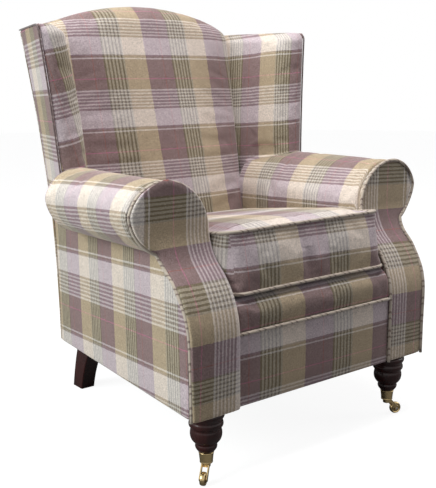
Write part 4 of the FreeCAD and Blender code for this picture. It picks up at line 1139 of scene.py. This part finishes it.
# Turned front legs and raked back legs.
leg = {
    "x": 294.5, "y": 49.0,
    "profile": [(0.0, 165.0), (41.0, 165.0), (41.0, 152.0), (40.0, 149.5), (36.5, 144.0),
                (36.0, 141.0), (37.0, 139.0), (38.2, 136.0), (38.2, 131.0), (37.0, 128.0),
                (33.6, 125.0), (33.2, 122.5), (34.6, 119.0), (35.5, 113.0), (35.3, 106.0),
                (33.2, 99.0), (29.0, 93.0), (24.4, 89.0), (23.0, 87.5), (23.6, 86.0),
                (24.5, 83.5), (24.5, 80.5), (23.4, 77.0), (21.2, 73.5), (18.6, 70.5),
                (15.8, 68.4), (15.3, 67.5), (12.4, 44.2), (0.0, 44.2)],
}


def spun(profile, turns=64):
    # spins a profile of (radius, height) round the upright axis
    bm = bmesh.new()
    verts = [bm.verts.new((radius, 0.0, height)) for radius, height in profile]
    edges = [bm.edges.new(pair) for pair in zip(verts, verts[1:])]
    bmesh.ops.spin(bm, geom=verts + edges, cent=(0, 0, 0), axis=(0, 0, 1), angle=math.tau,
                   steps=turns, use_merge=True)
    bmesh.ops.remove_doubles(bm, verts=bm.verts, dist=0.0005)
    return bm


def moveIn(bm, x, y, z=0.0, turn=None):
    if turn is not None:
        bmesh.ops.transform(bm, verts=bm.verts, matrix=turn)
    bmesh.ops.scale(bm, verts=bm.verts, vec=(0.001, 0.001, 0.001))
    bmesh.ops.translate(bm, verts=bm.verts, vec=place(x, y, z))
    return bm


for side, hand in sides:
    form = moveIn(spun(leg["profile"]), side * leg["x"], leg["y"])
    rounded(settle(f"frontLeg.{hand}", form, mahogany, f"front_leg_{hand}"))

backLeg = {"outerX": 235.0, "splay": 15.0, "width": (41.0, 46.0), "depth": (49.0, 78.0),
           "footY": 708.0, "rake": (55.0, 45.0), "bevel": 3.0, "levels": 12}
for side, hand in sides:
    form = bmesh.new()
    bmesh.ops.create_cube(form, size=1.0)
    bmesh.ops.bevel(form, geom=[edge for edge in form.edges
                                if abs(edge.verts[0].co.z - edge.verts[1].co.z) > 0.5],
                    offset=backLeg["bevel"] / backLeg["width"][1], segments=3,
                    profile=0.5, affect="EDGES", material=-1)
    for i in range(1, backLeg["levels"]):
        level = i / backLeg["levels"] - 0.5
        bmesh.ops.bisect_plane(form, geom=form.verts[:] + form.edges[:] + form.faces[:],
                               plane_co=(0, 0, level), plane_no=(0, 0, 1))
    for vert in form.verts:
        share = vert.co.z + 0.5
        width = lerp(*backLeg["width"], share)
        depth = lerp(*backLeg["depth"], share ** 2)
        rake = backLeg["rake"][0] * share + backLeg["rake"][1] * share ** 2
        x = backLeg["outerX"] + backLeg["splay"] * share - width / 2 + vert.co.x * width
        y = backLeg["footY"] - rake + depth / 2 + vert.co.y * depth
        vert.co = place(x * side, y, chair["underside"] * share)
    settle(f"backLeg.{hand}", form, mahogany, f"back_leg_{hand}", smooth=False)
print("legs made")


# Castors: turned cup with a bead, crowned wheel; the rest keeps its solid form.
castor = {
    "trail": 26.0, "wheelZ": 15.0, "angle": {1: -17.0, -1: -142.0},
    "cup": [(14.9, 67.5), (16.9, 67.7), (17.3, 66.6), (16.9, 65.4), (16.4, 64.8), (14.6, 47.0),
            (14.3, 45.6), (14.9, 44.8), (14.7, 43.2), (13.6, 42.0), (9.0, 42.0), (0.0, 42.0)],
    "wheel": [(2.6, -6.0), (6.0, -6.0), (7.0, -4.6), (11.0, -4.4), (12.2, -5.8), (13.6, -5.6),
              (14.8, -3.2), (15.0, 0.0), (14.8, 3.2), (13.6, 5.6), (12.2, 5.8), (11.0, 4.4),
              (7.0, 4.6), (6.0, 6.0), (2.6, 6.0)],
}
for side, hand in sides:
    cup = moveIn(spun(castor["cup"], 48), side * leg["x"], leg["y"])
    rounded(settle(f"castorCup.{hand}", cup, brass, f"castor_cup_{hand}"))
    swing = math.radians(castor["angle"][side])
    rim = castor["wheel"] + castor["wheel"][:1]
    onAxle = Matrix.Rotation(swing, 4, "Z") @ Matrix.Rotation(math.radians(90), 4, "X")
    wheel = moveIn(spun(rim, 56), side * leg["x"] + castor["trail"] * math.cos(swing),
                   leg["y"] + castor["trail"] * math.sin(swing), castor["wheelZ"], onAxle)
    settle(f"castorWheel.{hand}", wheel, brass, f"castor_wheel_{hand}",
           f"wheel_{hand}")
print("castors made")

# Pieces that keep their solid form get their real finish.
plainFinishes = [
    (("seat_rail", "corner_block", "arm_stump", "arm_rail", "back_post", "top_rail",
      "lower_back_rail", "wing_board"), beech),
    (("seat_webbing", "back_webbing"), jute),
    (("castor_axle", "castor_pin", "front_leg_bolts"), steel),
    (("castor_horn",), brass),
]
for starts, finish in plainFinishes:
    for nodeName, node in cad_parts.items():
        if nodeName.startswith(starts):
            node.data.materials.clear()
            node.data.materials.append(finish)
print("solid pieces finished")
